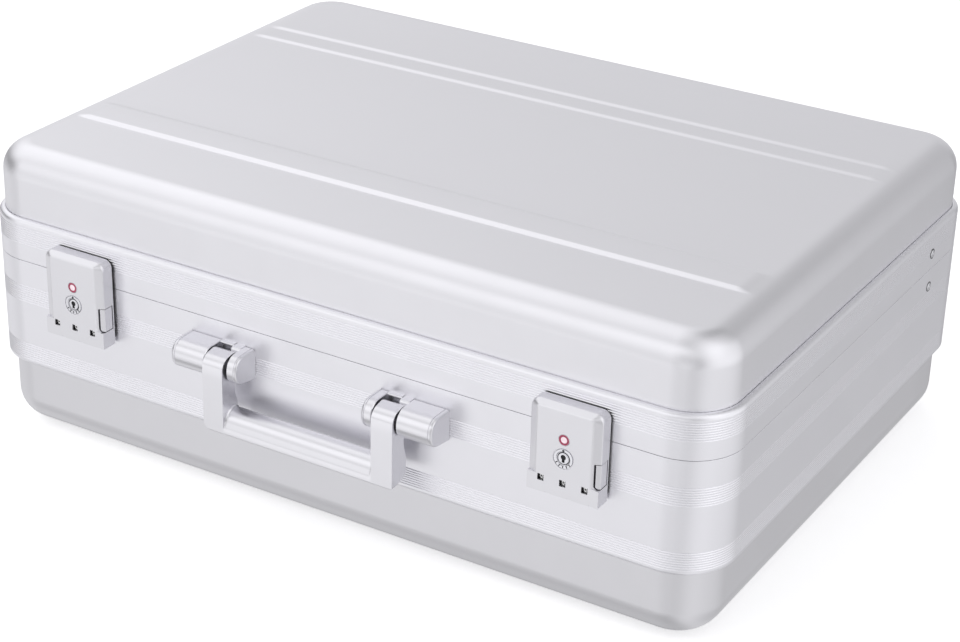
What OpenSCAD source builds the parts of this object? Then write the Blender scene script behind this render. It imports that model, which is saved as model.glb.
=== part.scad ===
// Hard carrying case for a drone: pressed aluminium shells in extruded frames,
// two combination latches, a folding handle, lid stays and a foam interior.
// Millimetres. +X runs along the length, +Z is up and -Y is the front (handle) side.
// The origin is on the floor, at the centre of the whole object's footprint.

/* [Case] */
// Length over the frames
case_l = 520; // [460:5:600]
// Depth over the frames
case_w = 380; // [340:5:440]
// Radius of the vertical corners, measured on the frames
corner_r = 34; // [30:1:45]
// Height of the base shell that shows below its frame
base_shell_h = 48.5; // [40:0.5:60]
// Height of the base frame
base_frame_h = 73; // [70:0.5:90]
// Height of the lid frame
lid_frame_h = 28; // [27.5:0.5:40]
// Height of the lid shell that shows above its frame
lid_shell_h = 42.5; // [36:0.5:60]
// Gap at the parting line
part_gap = 0.4; // [0.3:0.1:1]

/* [Shells] */
// Sheet thickness of both shells
sheet_t = 1.5; // [1:0.1:2]
// How far the lid shell sits inside the frame's face
lid_inset = 4; // [3.8:0.1:5]
// How far the base shell sits inside the frame's face
base_inset = 5; // [4:0.1:6]
// Outside radius of the lid's top edge
lid_edge_r = 18; // [10:1:22]
// Outside radius of the base's bottom edge
base_edge_r = 20; // [10:1:22]
// Height of the pressed ribs on the lid
rib_h = 1.5; // [0.5:0.1:3]

/* [Frames] */
// Wall thickness of the extrusions
frame_t = 2.5; // [2:0.1:3]
// Width of the flange at the parting line
flange_w = 8; // [7.5:0.5:9]
// Grooves in one reeded strip
reed_count = 8; // [4:1:10]
// Distance between grooves
reed_pitch = 1.55; // [1.2:0.05:1.8]
// Depth of a groove
reed_depth = 0.3; // [0.2:0.1:0.8]

/* [Handle] */
// Width over the two arms
bail_w = 135; // [120:1:160]
// Width of one arm
arm_w = 14.6; // [10:0.1:18]
// Thickness of the arms and the grip, front to back
bail_t = 15; // [11:0.5:16]
// Height of the grip bar
grip_h = 14.8; // [13:0.1:24]
// Height of the handle pins above the floor
pin_z = 103.7; // [100:0.1:108]
// Distance from the pins down to the grip's lower edge
bail_drop = 41.3; // [38:0.1:50]
// Radius of the handle pins
handle_pin_r = 3; // [2.5:0.1:4]

/* [Latches] */
// Distance of each latch from the case's centre
latch_x = 173.5; // [120:0.5:190]
// Width of a latch cover
latch_w = 45.2; // [42:0.2:50]
// Depth of a latch cover, from the frame's face to its front
latch_d = 12.5; // [12:0.1:16]
// Height of a cover's lower edge above the floor
latch_z = 87.5; // [85:0.5:92]
// Height of a latch cover
latch_h = 56.5; // [54:0.5:60]
// Width of the bevels on a cover's sides, seen from the front
side_bevel_w = 5.1; // [2:0.1:6]
// Depth of the bevels on a cover's sides
side_bevel_d = 2.6; // [1:0.1:4]
// Height of the bevel on a cover's top, seen from the front
top_bevel_h = 1.8; // [1:0.1:4]
// Depth of the bevel on a cover's top
top_bevel_d = 4.8; // [1:0.1:5]
// Travel of the release button
button_travel = 0.8; // [0.5:0.1:1.2]

/* [Rear hinges and stays] */
// Distance of each rear hinge from the centre
hinge_x = 150; // [100:5:190]
// Length of a rear hinge
hinge_l = 70; // [50:5:100]
// Radius of the rear hinge knuckles
knuckle_r = 4.2; // [3.5:0.1:5]
// Distance of the stays' studs in front of the case's rear face
stay_back = 69; // [60:1:80]
// Length of a stay's lower link, between centres
stay_lower_l = 70.74; // [70:0.01:72]
// Length of a stay's upper link, between centres
stay_upper_l = 70.98; // [70:0.01:72]

/* [Inside] */
// Thickness of the foam pad under the tray
pad_t = 16; // [10:1:30]
// Gap between the lid frame's flange and the lid foam
foam_gap = 4; // [2:1:10]
// Height of the rubber feet
foot_h = 3; // [2:0.5:6]
// Radius of the rubber feet
foot_r = 11; // [8:1:15]

/* [Hidden] */

sweep_fn = 48;
round_fn = 32;
small_fn = 24;
run_fit = 0.05;
eps = 0.01;

// Levels above the floor
base_frame_z = foot_h + base_shell_h;
part_z = base_frame_z + base_frame_h;
lid_frame_z = part_z + part_gap / 2;
base_rim_z = part_z - part_gap / 2;
lid_lip_z = part_z + lid_frame_h;
top_z = lid_lip_z + lid_shell_h;

// Frames
flange_t = 3;
edge_r = 2;
edge_c = 0.6;
lip_r = 3.5;
lip_drop = 4;
stud_hole_l = 15;
reed_h = reed_count * reed_pitch;
reed_low = 2.4;
reed_mid = 43.6;
reed_lid = 11.1;
seal_u = 4;
seal_w = 2.5;
seal_t = 1.7;
seal_depth = 1.9;

// Ribs pressed in the lid: near edge and far edge of each, from the centre
front_rib = [-113, -85];
rear_rib = [75, 96];
rib_slope = 3;
rib_end = 2;

// Feet: their centres' distance from the faces of the frames
foot_in_x = 62;
foot_in_y = 55;

// Handle
bracket_in = 44.3;
ring_w = 7.2;
slot_w = 16.8;
barrel_w = 24.2;
bracket_d = 19.8;
bracket_h = 18.7;
bracket_r = 8.6;
web_t = 2;
pin_d = 11;
boss_r = 8.5;
bail_front = 11;
grip_r = 6.6;
lug_in = 2;
lug_out = 4;

// Latches
plate_t = 1.5;
cover_back = 1.9;
wall_t = 1.8;
room_step = 3.3;
cover_top = latch_z + latch_h;
block_h = 11.2;
cover_corner_r = 5;
latch_pin_d = 4;
latch_pin_z = latch_z + 2.5;
latch_pin_r = 1.2;
cover_back_r = 2.2;
ear_x = [-10, 7.5];
ear_w = 2.5;
keeper_w = 24;
key_z = latch_z + 24.9;
plug_r = 3.8;
plug_back = 5.6;
plug_disc_t = 1.2;
keyway = [1, 4, 3.6];
bezel_r = 6.1;
bezel_h = 0.3;
wheel_z = latch_z + 9;
wheel_d = 6.9;
wheel_r = 4.3;
wheel_w = 7;
wheel_pitch = 13.9;
notch_r = 0.5;
axle_r = 1;
window = 4;
button_z = latch_z + 11.2;
button_h = 15.2;
button_w = 2.8;
button_back = 3.2;
button_fit = 0.25;
claw_z = part_z + 5;
claw_h = 3;
claw_w = 16;
keeper_d = 4;

// Rear hinges
hinge_y = case_w / 2 + knuckle_r + 0.2;
leaf_t = 2;
leaf_h = 26;
segments = 5;
segment_l = hinge_l / segments;
segment_gap = 0.4;
leaf_gap = 0.6;
hinge_pin_r = 2;

// Stays
stay_y = case_w / 2 - stay_back;
stay_base_z = part_z - 12.3;
stay_lid_z = part_z + 10.8;
stay_lower_angle = 171.2;
stay_upper_angle = 190;
link_t = 2;
link_w = 12;
link_x = case_l / 2 - 10.5;
stud_r = 2.5;
stud_head_r = 2.8;
stud_head_h = 0.6;
washer_t = 0.8;
washer_r = 4;
link_gap = 0.5;
elbow_hole_r = 3.6;

// Foam
foam_clear = 0.8;
pad_z = foot_h + 4;
tray_z = pad_z + pad_t;
tray_top = base_rim_z - flange_t - 0.5;
lid_foam_z = lid_frame_z + flange_t + foam_gap;
stay_room_y = [38, 134];
stay_room_w = 17;

// The footprint's centre lies between the handle's front and the hinges' back
case_y = (pin_d + bail_front - knuckle_r * 2 - 0.2) / 2;

// ---------------------------------------------------------------- helpers

// Sweeps a profile round a rounded rectangle. The profile's X is the distance
// from the corner's centre, so a point at X = r lies on the outer face.
module sweep(l, w, r) {
    along = l - 2 * r;
    across = w - 2 * r;
    for (turn = [0, 180]) {
        rotate([0, 0, turn]) {
            translate([along / 2, across / 2, 0])
                rotate_extrude(angle = 90, $fn = sweep_fn) children();
            translate([-along / 2, across / 2, 0])
                rotate([0, 0, 90]) rotate_extrude(angle = 90, $fn = sweep_fn) children();
            translate([-along / 2, across / 2, 0])
                rotate([90, 0, 90]) linear_extrude(along) children();
            translate([along / 2, across / 2, 0])
                rotate([90, 0, 0]) linear_extrude(across) children();
        }
    }
}

// A solid block with rounded corners and a rounded top edge
module block(l, w, r, h, f) {
    sweep(l, w, r) {
        square([r, h - f]);
        square([r - f, h]);
        translate([r - f, h - f]) intersection() {
            circle(f, $fn = sweep_fn);
            square(f);
        }
    }
    translate([r - l / 2, r - w / 2, 0]) cube([l - 2 * r, w - 2 * r, h]);
}

// A solid block with rounded corners and square edges
module slab(l, w, r, h) {
    sweep(l, w, r) square([r, h]);
    translate([r - l / 2, r - w / 2, 0]) cube([l - 2 * r, w - 2 * r, h]);
}

// Moves a node so that the whole footprint is centred on the origin
module centred() {
    translate([0, case_y, 0]) children();
}

// Turns a right-hand part into a left-hand one where side is -1
module on_side(side) {
    mirror([side < 0 ? 1 : 0, 0, 0]) children();
}

// A box given by its low and high corners
module box(low, high) {
    translate(low) cube(high - low);
}

// A cylinder along X, from x0 to x1
module rod_x(r, x0, x1, y, z, fn = small_fn) {
    translate([x0, y, z]) rotate([0, 90, 0]) cylinder(r = r, h = x1 - x0, $fn = fn);
}

// A cylinder along Y, from y0 to y1
module rod_y(r, y0, y1, x, z, fn = round_fn) {
    translate([x, y0, z]) rotate([-90, 0, 0]) cylinder(r = r, h = y1 - y0, $fn = fn);
}

// The points of a reeded strip, from its lower edge up
function reeds(x, z) = [
    for (i = [0 : reed_count - 1])
        each [[x, z + i * reed_pitch], [x - reed_depth, z + (i + 0.5) * reed_pitch]]
];

// Moves what follows to the front face, with a latch's centre at X = 0
module at_latch(side) {
    translate([side * latch_x, -case_w / 2, 0]) children();
}

// ---------------------------------------------------------------- frames

module base_frame_profile() {
    r = corner_r;
    low = base_frame_z;
    high = base_rim_z;
    groove = r - seal_u;
    polygon(concat(
        [[r - base_inset, low], [r - edge_r, low], [r - edge_c, low + edge_c]],
        reeds(r, low + reed_low),
        [[r, low + reed_low + reed_h]],
        reeds(r, low + reed_mid),
        [[r, low + reed_mid + reed_h], [r, high - edge_c], [r - edge_c, high]],
        [[groove, high], [groove, high - seal_depth]],
        [[groove - seal_w, high - seal_depth], [groove - seal_w, high]],
        [[r - flange_w, high], [r - flange_w, high - flange_t]],
        [[r - frame_t, high - flange_t], [r - frame_t, low + flange_t]],
        [[r - base_inset, low + flange_t]]
    ));
}

module lid_frame_profile() {
    r = corner_r;
    low = lid_frame_z;
    high = lid_lip_z;
    lip = [for (a = [0 : 15 : 90])
        [r - lip_r + lip_r * cos(a), high - lip_r + lip_r * sin(a)]];
    polygon(concat(
        [[r - flange_w, low], [r - edge_c, low], [r, low + edge_c]],
        reeds(r, low + reed_lid),
        [[r, low + reed_lid + reed_h]],
        lip,
        [[r - lip_r, high - lip_drop], [r - frame_t, high - lip_drop - 1]],
        [[r - frame_t, low + flange_t], [r - flange_w, low + flange_t]]
    ));
}

// Holes for the studs of both stays, through the side walls
module stud_holes(z) {
    for (side = [-1, 1]) {
        x0 = side > 0 ? case_l / 2 + 1 - stud_hole_l : -case_l / 2 - 1;
        rod_x(stud_r, x0, x0 + stud_hole_l, stay_y, z);
    }
}

module base_frame() {
    color("silver") centred() difference() {
        sweep(case_l, case_w, corner_r) base_frame_profile();
        stud_holes(stay_base_z);
    }
}

module lid_frame() {
    color("silver") centred() difference() {
        sweep(case_l, case_w, corner_r) lid_frame_profile();
        stud_holes(stay_lid_z);
    }
}

module seal() {
    r = corner_r - seal_u;
    z = base_rim_z - seal_depth;
    color("dimgray") centred() sweep(case_l, case_w, corner_r)
        translate([r - seal_w + 0.2, z]) square([seal_w - 0.4, seal_t + 0.2]);
}

// ---------------------------------------------------------------- shells

// A pressed pan with its closed side up and its rim at Z = 0
module pan(inset, h, f) {
    l = case_l - 2 * inset;
    w = case_w - 2 * inset;
    r = corner_r - inset;
    difference() {
        block(l, w, r, h, f);
        translate([0, 0, -eps])
            block(l - 2 * sheet_t, w - 2 * sheet_t, r - sheet_t, h - sheet_t + eps, f - sheet_t);
    }
}

// One raised rib on the lid, between two Y positions
module rib(span) {
    half = case_l / 2 - lid_inset - lid_edge_r - rib_end;
    translate([-half, 0, top_z - eps]) rotate([90, 0, 90]) linear_extrude(2 * half)
        polygon([
            [span[0] - rib_slope / 2, 0], [span[1] + rib_slope / 2, 0],
            [span[1] - rib_slope / 2, rib_h], [span[0] + rib_slope / 2, rib_h]
        ]);
}

module lid_shell() {
    z = lid_frame_z + flange_t;
    color("gainsboro") centred() {
        difference() {
            translate([0, 0, z]) pan(lid_inset, top_z - z, lid_edge_r);
            stud_holes(stay_lid_z);
        }
        rib(front_rib);
        rib(rear_rib);
    }
}

module base_shell() {
    z = base_rim_z - flange_t;
    color("gainsboro") centred() difference() {
        translate([0, 0, z]) rotate([180, 0, 0])
            pan(base_inset, z - foot_h, base_edge_r);
        stud_holes(stay_base_z);
    }
}

module foot(side_x, side_y) {
    x = side_x * (case_l / 2 - foot_in_x);
    y = side_y * (case_w / 2 - foot_in_y);
    color("black") centred() translate([x, y, 0])
        cylinder(r = foot_r, h = foot_h, $fn = round_fn);
}

// ---------------------------------------------------------------- handle

// Section of a bracket's barrel: flat on the wall, rounded in front
module d_section() {
    low = pin_z - bracket_h / 2;
    translate([-bracket_d + bracket_r, low]) square([bracket_d - bracket_r, bracket_h]);
    translate([-bracket_d, low + bracket_r]) square([bracket_r, bracket_h - 2 * bracket_r]);
    for (z = [low + bracket_r, low + bracket_h - bracket_r]) {
        translate([-bracket_d + bracket_r, z]) circle(bracket_r, $fn = round_fn);
    }
}

module extrude_x(x0, x1) {
    translate([x0, 0, 0]) rotate([90, 0, 90]) linear_extrude(x1 - x0) children();
}

// A bracket for the right arm; the left one is its mirror image
module bracket_right() {
    slot_in = bracket_in + ring_w;
    slot_out = slot_in + slot_w;
    low = pin_z - bracket_h / 2;
    translate([0, -case_w / 2, 0]) difference() {
        union() {
            extrude_x(bracket_in, slot_in) d_section();
            extrude_x(slot_out, slot_out + barrel_w) d_section();
            box([slot_in, -web_t, low], [slot_out, 0, low + bracket_h]);
        }
        rod_x(handle_pin_r, bracket_in + lug_in, slot_out + barrel_w - lug_out, -pin_d, pin_z);
    }
}

module handle_bracket(side) {
    color("silver") centred() on_side(side) bracket_right();
}

module handle_pin(side) {
    x0 = bracket_in + lug_in;
    x1 = bracket_in + ring_w + slot_w + barrel_w - lug_out;
    y = -case_w / 2 - pin_d;
    color("darkgray") centred() on_side(side) rod_x(handle_pin_r, x0, x1, y, pin_z);
}

// Side view of an arm, with the pin at the origin and the front at -X
module arm_profile() {
    back = bail_t - bail_front;
    low = -bail_drop;
    circle(boss_r, $fn = round_fn);
    polygon([
        [-bail_front, low + 4], [-bail_front, 2], [-boss_r / 2, boss_r * 0.86],
        [0, 0], [boss_r * 0.8, -boss_r * 0.5], [back - 2, low + 26],
        [back, low + 18], [back, low + 8], [back - 6, low + 2], [-bail_front + 2, low + 2]
    ]);
}

// Section of the grip, in the same view
module grip_profile() {
    back = bail_t - bail_front;
    low = -bail_drop;
    for (y = [grip_r - bail_front, back - grip_r]) {
        for (z = [low + grip_r, low + grip_h - grip_r]) {
            translate([y, z]) circle(grip_r, $fn = round_fn);
        }
    }
    translate([grip_r - bail_front, low]) square([bail_t - 2 * grip_r, grip_h]);
    translate([-bail_front, low + grip_r]) square([bail_t, grip_h - 2 * grip_r]);
}

module handle_bail() {
    y = -case_w / 2 - pin_d;
    half = bail_w / 2;
    color("silver") centred() difference() {
        union() {
            for (x0 = [-half, half - arm_w]) {
                translate([0, y, pin_z]) extrude_x(x0, x0 + arm_w) arm_profile();
            }
            translate([0, y, pin_z]) extrude_x(-half + 0.5, half - 0.5) grip_profile();
        }
        for (x0 = [-half - 1, half - arm_w - 1]) {
            rod_x(handle_pin_r + run_fit, x0, x0 + arm_w + 2, y, pin_z);
        }
    }
}

// ---------------------------------------------------------------- latches

// Outer form of a cover: bevelled on the top and the sides, with a square
// lower block, and rounded at the two upper corners
module cover_form() {
    half = latch_w / 2;
    face = half - side_bevel_w;
    back = -cover_back;
    front = -latch_d;
    intersection() {
        union() {
            translate([0, 0, latch_z]) linear_extrude(latch_h) polygon([
                [-half, back], [-half, front + side_bevel_d], [-face, front],
                [face, front], [half, front + side_bevel_d], [half, back]
            ]);
            box([-half, front, latch_z], [half, back, latch_z + block_h]);
        }
        extrude_x(-half, half) polygon([
            [back, latch_z], [front, latch_z], [front, cover_top - top_bevel_h],
            [front + top_bevel_d, cover_top], [back, cover_top]
        ]);
        union() {
            box([-half, front, latch_z], [half, back, cover_top - cover_corner_r]);
            box([cover_corner_r - half, front, latch_z], [half - cover_corner_r, back, cover_top]);
            for (x = [-half + cover_corner_r, half - cover_corner_r]) {
                rod_y(cover_corner_r, front, back, x, cover_top - cover_corner_r);
            }
        }
    }
}

// Room inside a cover, open at the back
module cover_room() {
    half = latch_w / 2 - wall_t;
    front = -latch_d + 1.6;
    mid = -latch_d + 5;
    low = latch_z + 1.5;
    reach = wheel_w / 2 + 0.4;
    box([-half, mid, low], [half, 0, cover_top - 2]);
    box([room_step - half, front, low], [half - room_step, mid + eps, cover_top - 5.5]);
    // Room for the digit wheels, right behind the windows
    for (i = [-1 : 1]) {
        x = i * wheel_pitch;
        box([x - reach, -latch_d + 0.9, wheel_z - 5], [x + reach, mid, wheel_z + 5]);
        box([x - window / 2, -latch_d - 1, wheel_z - window / 2],
            [x + window / 2, mid, wheel_z + window / 2]);
        box([x + window / 2 + 1, -latch_d - 1, latch_z - 1],
            [x + window / 2 + 4, -latch_d + 0.6, latch_z + 0.7]);
    }
    // The lower edge is open behind, where the plate's ears stand
    box([-half, -8, latch_z - 1], [half, 0, low + 1]);
}

module latch_cover(side) {
    half = latch_w / 2;
    color("whitesmoke") centred() at_latch(side) difference() {
        union() {
            difference() {
                cover_form();
                cover_room();
            }
            // Boss and bezel of the key plug
            rod_y(bezel_r, -latch_d - bezel_h, -plug_back - 0.3, 0, key_z);
            // Claw that closes over the front of the keeper
            box([-claw_w / 2, -latch_d + 1, claw_z], [claw_w / 2, -keeper_d - 0.4, claw_z + claw_h]);
        }
        rod_y(plug_r + run_fit, -latch_d - 1, 0, 0, key_z);
        rod_x(latch_pin_r + run_fit, -half + 0.6, half - 0.6, -latch_pin_d, latch_pin_z);
        rod_x(axle_r, -half + 0.8, half - 0.8, -wheel_d, wheel_z);
        // Opening for the release button
        box([half - button_w - button_travel - button_fit, -latch_d - 1, button_z - button_fit],
            [half + 1, -2.6, button_z + button_h + button_fit]);
        // The lower back edge is rounded about the hinge pin
        difference() {
            box([-half - 1, -latch_pin_d, latch_z - 1], [half + 1, 0, latch_pin_z]);
            rod_x(cover_back_r, -half - 1, half + 1, -latch_pin_d, latch_pin_z);
        }
    }
}

// Backing plate on the base frame, with two ears for the hinge pin
module latch_plate(side) {
    half = latch_w / 2 - 1;
    color("darkgray") centred() at_latch(side) difference() {
        union() {
            box([-half, -plate_t, latch_z + 1], [half, 0, base_rim_z - 1]);
            for (x = ear_x) {
                rod_x(cover_back_r, x, x + ear_w, -latch_pin_d, latch_pin_z);
                box([x, -latch_pin_d, latch_pin_z - cover_back_r + 1],
                    [x + ear_w, -plate_t + eps, latch_pin_z + cover_back_r]);
            }
        }
        rod_x(latch_pin_r, -half, half, -latch_pin_d, latch_pin_z);
    }
}

module latch_pin(side) {
    half = latch_w / 2 - 0.8;
    color("dimgray") centred() at_latch(side)
        rod_x(latch_pin_r, -half, half, -latch_pin_d, latch_pin_z);
}

// Catch plate on the lid frame, with a raised bar
module keeper(side) {
    color("darkgray") centred() at_latch(side) {
        box([-keeper_w / 2, -plate_t, lid_frame_z + 1], [keeper_w / 2, 0, cover_top - 3]);
        box([-claw_w / 2, -keeper_d, claw_z - 1], [claw_w / 2, -plate_t + eps, claw_z + claw_h + 1]);
    }
}

// Key plug with its keyway and the disc that holds it in the cover
module key_plug(side) {
    color("silver") centred() at_latch(side) difference() {
        union() {
            rod_y(plug_r, -latch_d - bezel_h / 2, -plug_back, 0, key_z);
            rod_y(plug_r + 1.2, -plug_back, plug_disc_t - plug_back, 0, key_z);
        }
        box([-keyway[0] / 2, -latch_d - 1, key_z - keyway[2] / 2],
            [keyway[0] / 2, -latch_d + keyway[1], key_z + keyway[2] / 2]);
    }
}

module release_button(side) {
    outer = latch_w / 2;
    inner = outer - button_w;
    slope = side_bevel_d / side_bevel_w;
    edge = side_bevel_d - latch_d;
    color("whitesmoke") centred() at_latch(side) translate([0, 0, button_z])
        linear_extrude(button_h) polygon([
            [inner, -button_back], [outer, -button_back],
            [outer, edge], [inner, edge - button_w * slope]
        ]);
}

module wheel_axle(side) {
    half = latch_w / 2 - 0.8;
    color("dimgray") centred() at_latch(side)
        rod_x(axle_r, -half, half, -wheel_d, wheel_z);
}

// Digit wheel with ten flats, one for each digit
module digit_wheel(side, place) {
    x = (place - 2) * wheel_pitch;
    color("dimgray") centred() at_latch(side) difference() {
        rod_x(wheel_r, x - wheel_w / 2, x + wheel_w / 2, -wheel_d, wheel_z);
        rod_x(axle_r + run_fit, x - wheel_w, x + wheel_w, -wheel_d, wheel_z);
        // A notch between neighbouring digits
        for (i = [0 : 9]) {
            translate([x - wheel_w, -wheel_d, wheel_z]) rotate([i * 36 + 18, 0, 0])
                translate([0, 0, wheel_r + 0.1]) rotate([0, 90, 0])
                    cylinder(r = notch_r, h = 2 * wheel_w, $fn = 16);
        }
    }
}

// ---------------------------------------------------------------- rear hinges

// One leaf: a plate on the rear face and the knuckles of its segments
module hinge_leaf(side, first, low, high) {
    x0 = side * hinge_x - hinge_l / 2;
    wall = case_w / 2;
    color("darkgray") centred() difference() {
        union() {
            box([x0, wall, low], [x0 + hinge_l, wall + leaf_t, high]);
            for (i = [first : 2 : segments - 1]) {
                a = x0 + i * segment_l + segment_gap / 2;
                b = a + segment_l - segment_gap;
                rod_x(knuckle_r, a, b, hinge_y, part_z);
                box([a, wall + 0.2, min(part_z, low)], [b, wall + leaf_t, max(part_z, high)]);
            }
        }
        rod_x(hinge_pin_r + (first == 0 ? 0 : run_fit), x0 - 1, x0 + hinge_l + 1, hinge_y, part_z);
    }
}

module hinge_base_leaf(side) {
    hinge_leaf(side, 0, part_z - knuckle_r - leaf_h, part_z - knuckle_r - leaf_gap);
}

module hinge_lid_leaf(side) {
    hinge_leaf(side, 1, part_z + knuckle_r + leaf_gap, part_z + leaf_h);
}

module hinge_pin(side) {
    x0 = side * hinge_x - hinge_l / 2;
    color("dimgray") centred() rod_x(hinge_pin_r, x0, x0 + hinge_l, hinge_y, part_z);
}

// ---------------------------------------------------------------- stays

// A flat link in the Y-Z plane, from a pivot towards an angle
module link(x, z, angle, length, near_r, far_r) {
    translate([x, stay_y, z]) rotate([angle, 0, 0]) difference() {
        union() {
            rod_x(link_w / 2, 0, link_t, 0, 0);
            rod_x(link_w / 2, 0, link_t, length, 0);
            translate([0, 0, -link_w / 2]) cube([link_t, length, link_w]);
        }
        rod_x(near_r, -1, link_t + 1, 0, 0);
        rod_x(far_r, -1, link_t + 1, length, 0);
    }
}

// The lower link carries the elbow stud, which stands in the upper link's hole
module stay_lower_right() {
    link(link_x, stay_base_z, stay_lower_angle, stay_lower_l, stud_r + run_fit, stud_r);
    translate([link_x, stay_y, stay_base_z]) rotate([stay_lower_angle, 0, 0]) {
        rod_x(stud_r, -link_t - 3 * link_gap, link_t, stay_lower_l, 0);
        rod_x(elbow_hole_r + 1.4, -link_t - 3 * link_gap - washer_t, -link_t - 3 * link_gap + eps,
            stay_lower_l, 0);
    }
}

module stay_upper_right() {
    x = link_x - link_t - link_gap;
    link(x, stay_lid_z, stay_upper_angle, stay_upper_l, stud_r + run_fit, elbow_hole_r);
}

// A stud through the side wall, with a round head outside and a washer inside
module stud_right(z, reach) {
    rod_x(stud_r, reach, case_l / 2 + 0.2, stay_y, z);
    rod_x(stud_head_r, case_l / 2, case_l / 2 + stud_head_h, stay_y, z);
    rod_x(washer_r, reach - washer_t, reach + eps, stay_y, z);
}

module stay_lower_link(side) {
    color("darkgray") centred() on_side(side) stay_lower_right();
}

module stay_upper_link(side) {
    color("darkgray") centred() on_side(side) stay_upper_right();
}

module stay_base_stud(side) {
    color("silver") centred() on_side(side) stud_right(stay_base_z, link_x - 0.3);
}

module stay_lid_stud(side) {
    color("silver") centred() on_side(side)
        stud_right(stay_lid_z, link_x - link_t - link_gap - 0.3);
}

// ---------------------------------------------------------------- foam

// Room beside the foam for the folded stays
module stay_room(z0, z1) {
    for (side = [-1, 1]) {
        x = case_l / 2 - base_inset - stay_room_w;
        box([side > 0 ? x : -x - stay_room_w, stay_room_y[0], z0],
            [side > 0 ? x + stay_room_w : -x, stay_room_y[1], z1]);
    }
}

// A pocket for one thing, with a finger notch on each long side
module pocket(x, y, w, d, notch) {
    h = tray_top - tray_z + 2;
    translate([x, y, tray_z - 1]) {
        translate([-w / 2, -d / 2, 0]) cube([w, d, h]);
        if (notch > 0) {
            for (s = [-1, 1]) {
                translate([0, s * d / 2, 0]) cylinder(r = notch, h = h, $fn = round_fn);
            }
        }
    }
}

module foam_pad() {
    inset = base_inset + sheet_t + 10;
    color("dimgray") centred() translate([0, 0, pad_z])
        slab(case_l - 2 * inset, case_w - 2 * inset, corner_r - base_inset - sheet_t - 4, pad_t);
}

module foam_tray() {
    inset = base_inset + sheet_t + foam_clear;
    color("dimgray") centred() difference() {
        translate([0, 0, tray_z])
            slab(case_l - 2 * inset, case_w - 2 * inset, corner_r - inset, tray_top - tray_z);
        // Drone
        pocket(-100, 28, 260, 250, 20);
        // Three batteries
        for (i = [0 : 2]) {
            pocket(-186 + i * 86, -143, 64, 46, 0);
        }
        // Controller, charger and spare propellers
        pocket(132, 70, 150, 160, 16);
        pocket(132, -72, 150, 84, 14);
        pocket(132, -149, 150, 34, 0);
        stay_room(stay_base_z - 9, tray_top + 1);
    }
}

module lid_foam() {
    inset = lid_inset + sheet_t + foam_clear;
    h = top_z - sheet_t - foam_clear - lid_foam_z;
    color("dimgray") centred() difference() {
        translate([0, 0, lid_foam_z])
            block(case_l - 2 * inset, case_w - 2 * inset, corner_r - inset, h, lid_edge_r - sheet_t);
        stay_room(lid_foam_z - 1, stay_lid_z + 9);
    }
}

// ---------------------------------------------------------------- nodes

base_frame();
base_shell();
lid_frame();
lid_shell();
seal();
foot(-1, -1);  // foot_front_left
foot(1, -1);  // foot_front_right
foot(-1, 1);  // foot_rear_left
foot(1, 1);  // foot_rear_right
handle_bracket(-1);  // handle_bracket_left
handle_bracket(1);  // handle_bracket_right
handle_pin(-1);  // handle_pin_left
handle_pin(1);  // handle_pin_right
handle_bail();
latch_plate(-1);  // latch_plate_left
latch_cover(-1);  // latch_cover_left
latch_pin(-1);  // latch_pin_left
keeper(-1);  // keeper_left
key_plug(-1);  // key_plug_left
release_button(-1);  // release_button_left
wheel_axle(-1);  // wheel_axle_left
digit_wheel(-1, 1);  // digit_wheel_left_1
digit_wheel(-1, 2);  // digit_wheel_left_2
digit_wheel(-1, 3);  // digit_wheel_left_3
latch_plate(1);  // latch_plate_right
latch_cover(1);  // latch_cover_right
latch_pin(1);  // latch_pin_right
keeper(1);  // keeper_right
key_plug(1);  // key_plug_right
release_button(1);  // release_button_right
wheel_axle(1);  // wheel_axle_right
digit_wheel(1, 1);  // digit_wheel_right_1
digit_wheel(1, 2);  // digit_wheel_right_2
digit_wheel(1, 3);  // digit_wheel_right_3
hinge_base_leaf(-1);  // hinge_base_leaf_left
hinge_lid_leaf(-1);  // hinge_lid_leaf_left
hinge_pin(-1);  // hinge_pin_left
hinge_base_leaf(1);  // hinge_base_leaf_right
hinge_lid_leaf(1);  // hinge_lid_leaf_right
hinge_pin(1);  // hinge_pin_right
stay_lower_link(-1);  // stay_lower_link_left
stay_upper_link(-1);  // stay_upper_link_left
stay_base_stud(-1);  // stay_base_stud_left
stay_lid_stud(-1);  // stay_lid_stud_left
stay_lower_link(1);  // stay_lower_link_right
stay_upper_link(1);  // stay_upper_link_right
stay_base_stud(1);  // stay_base_stud_right
stay_lid_stud(1);  // stay_lid_stud_right
foam_pad();
foam_tray();
lid_foam();
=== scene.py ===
import math

import bmesh
import bpy
from mathutils import Matrix, Vector


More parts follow.
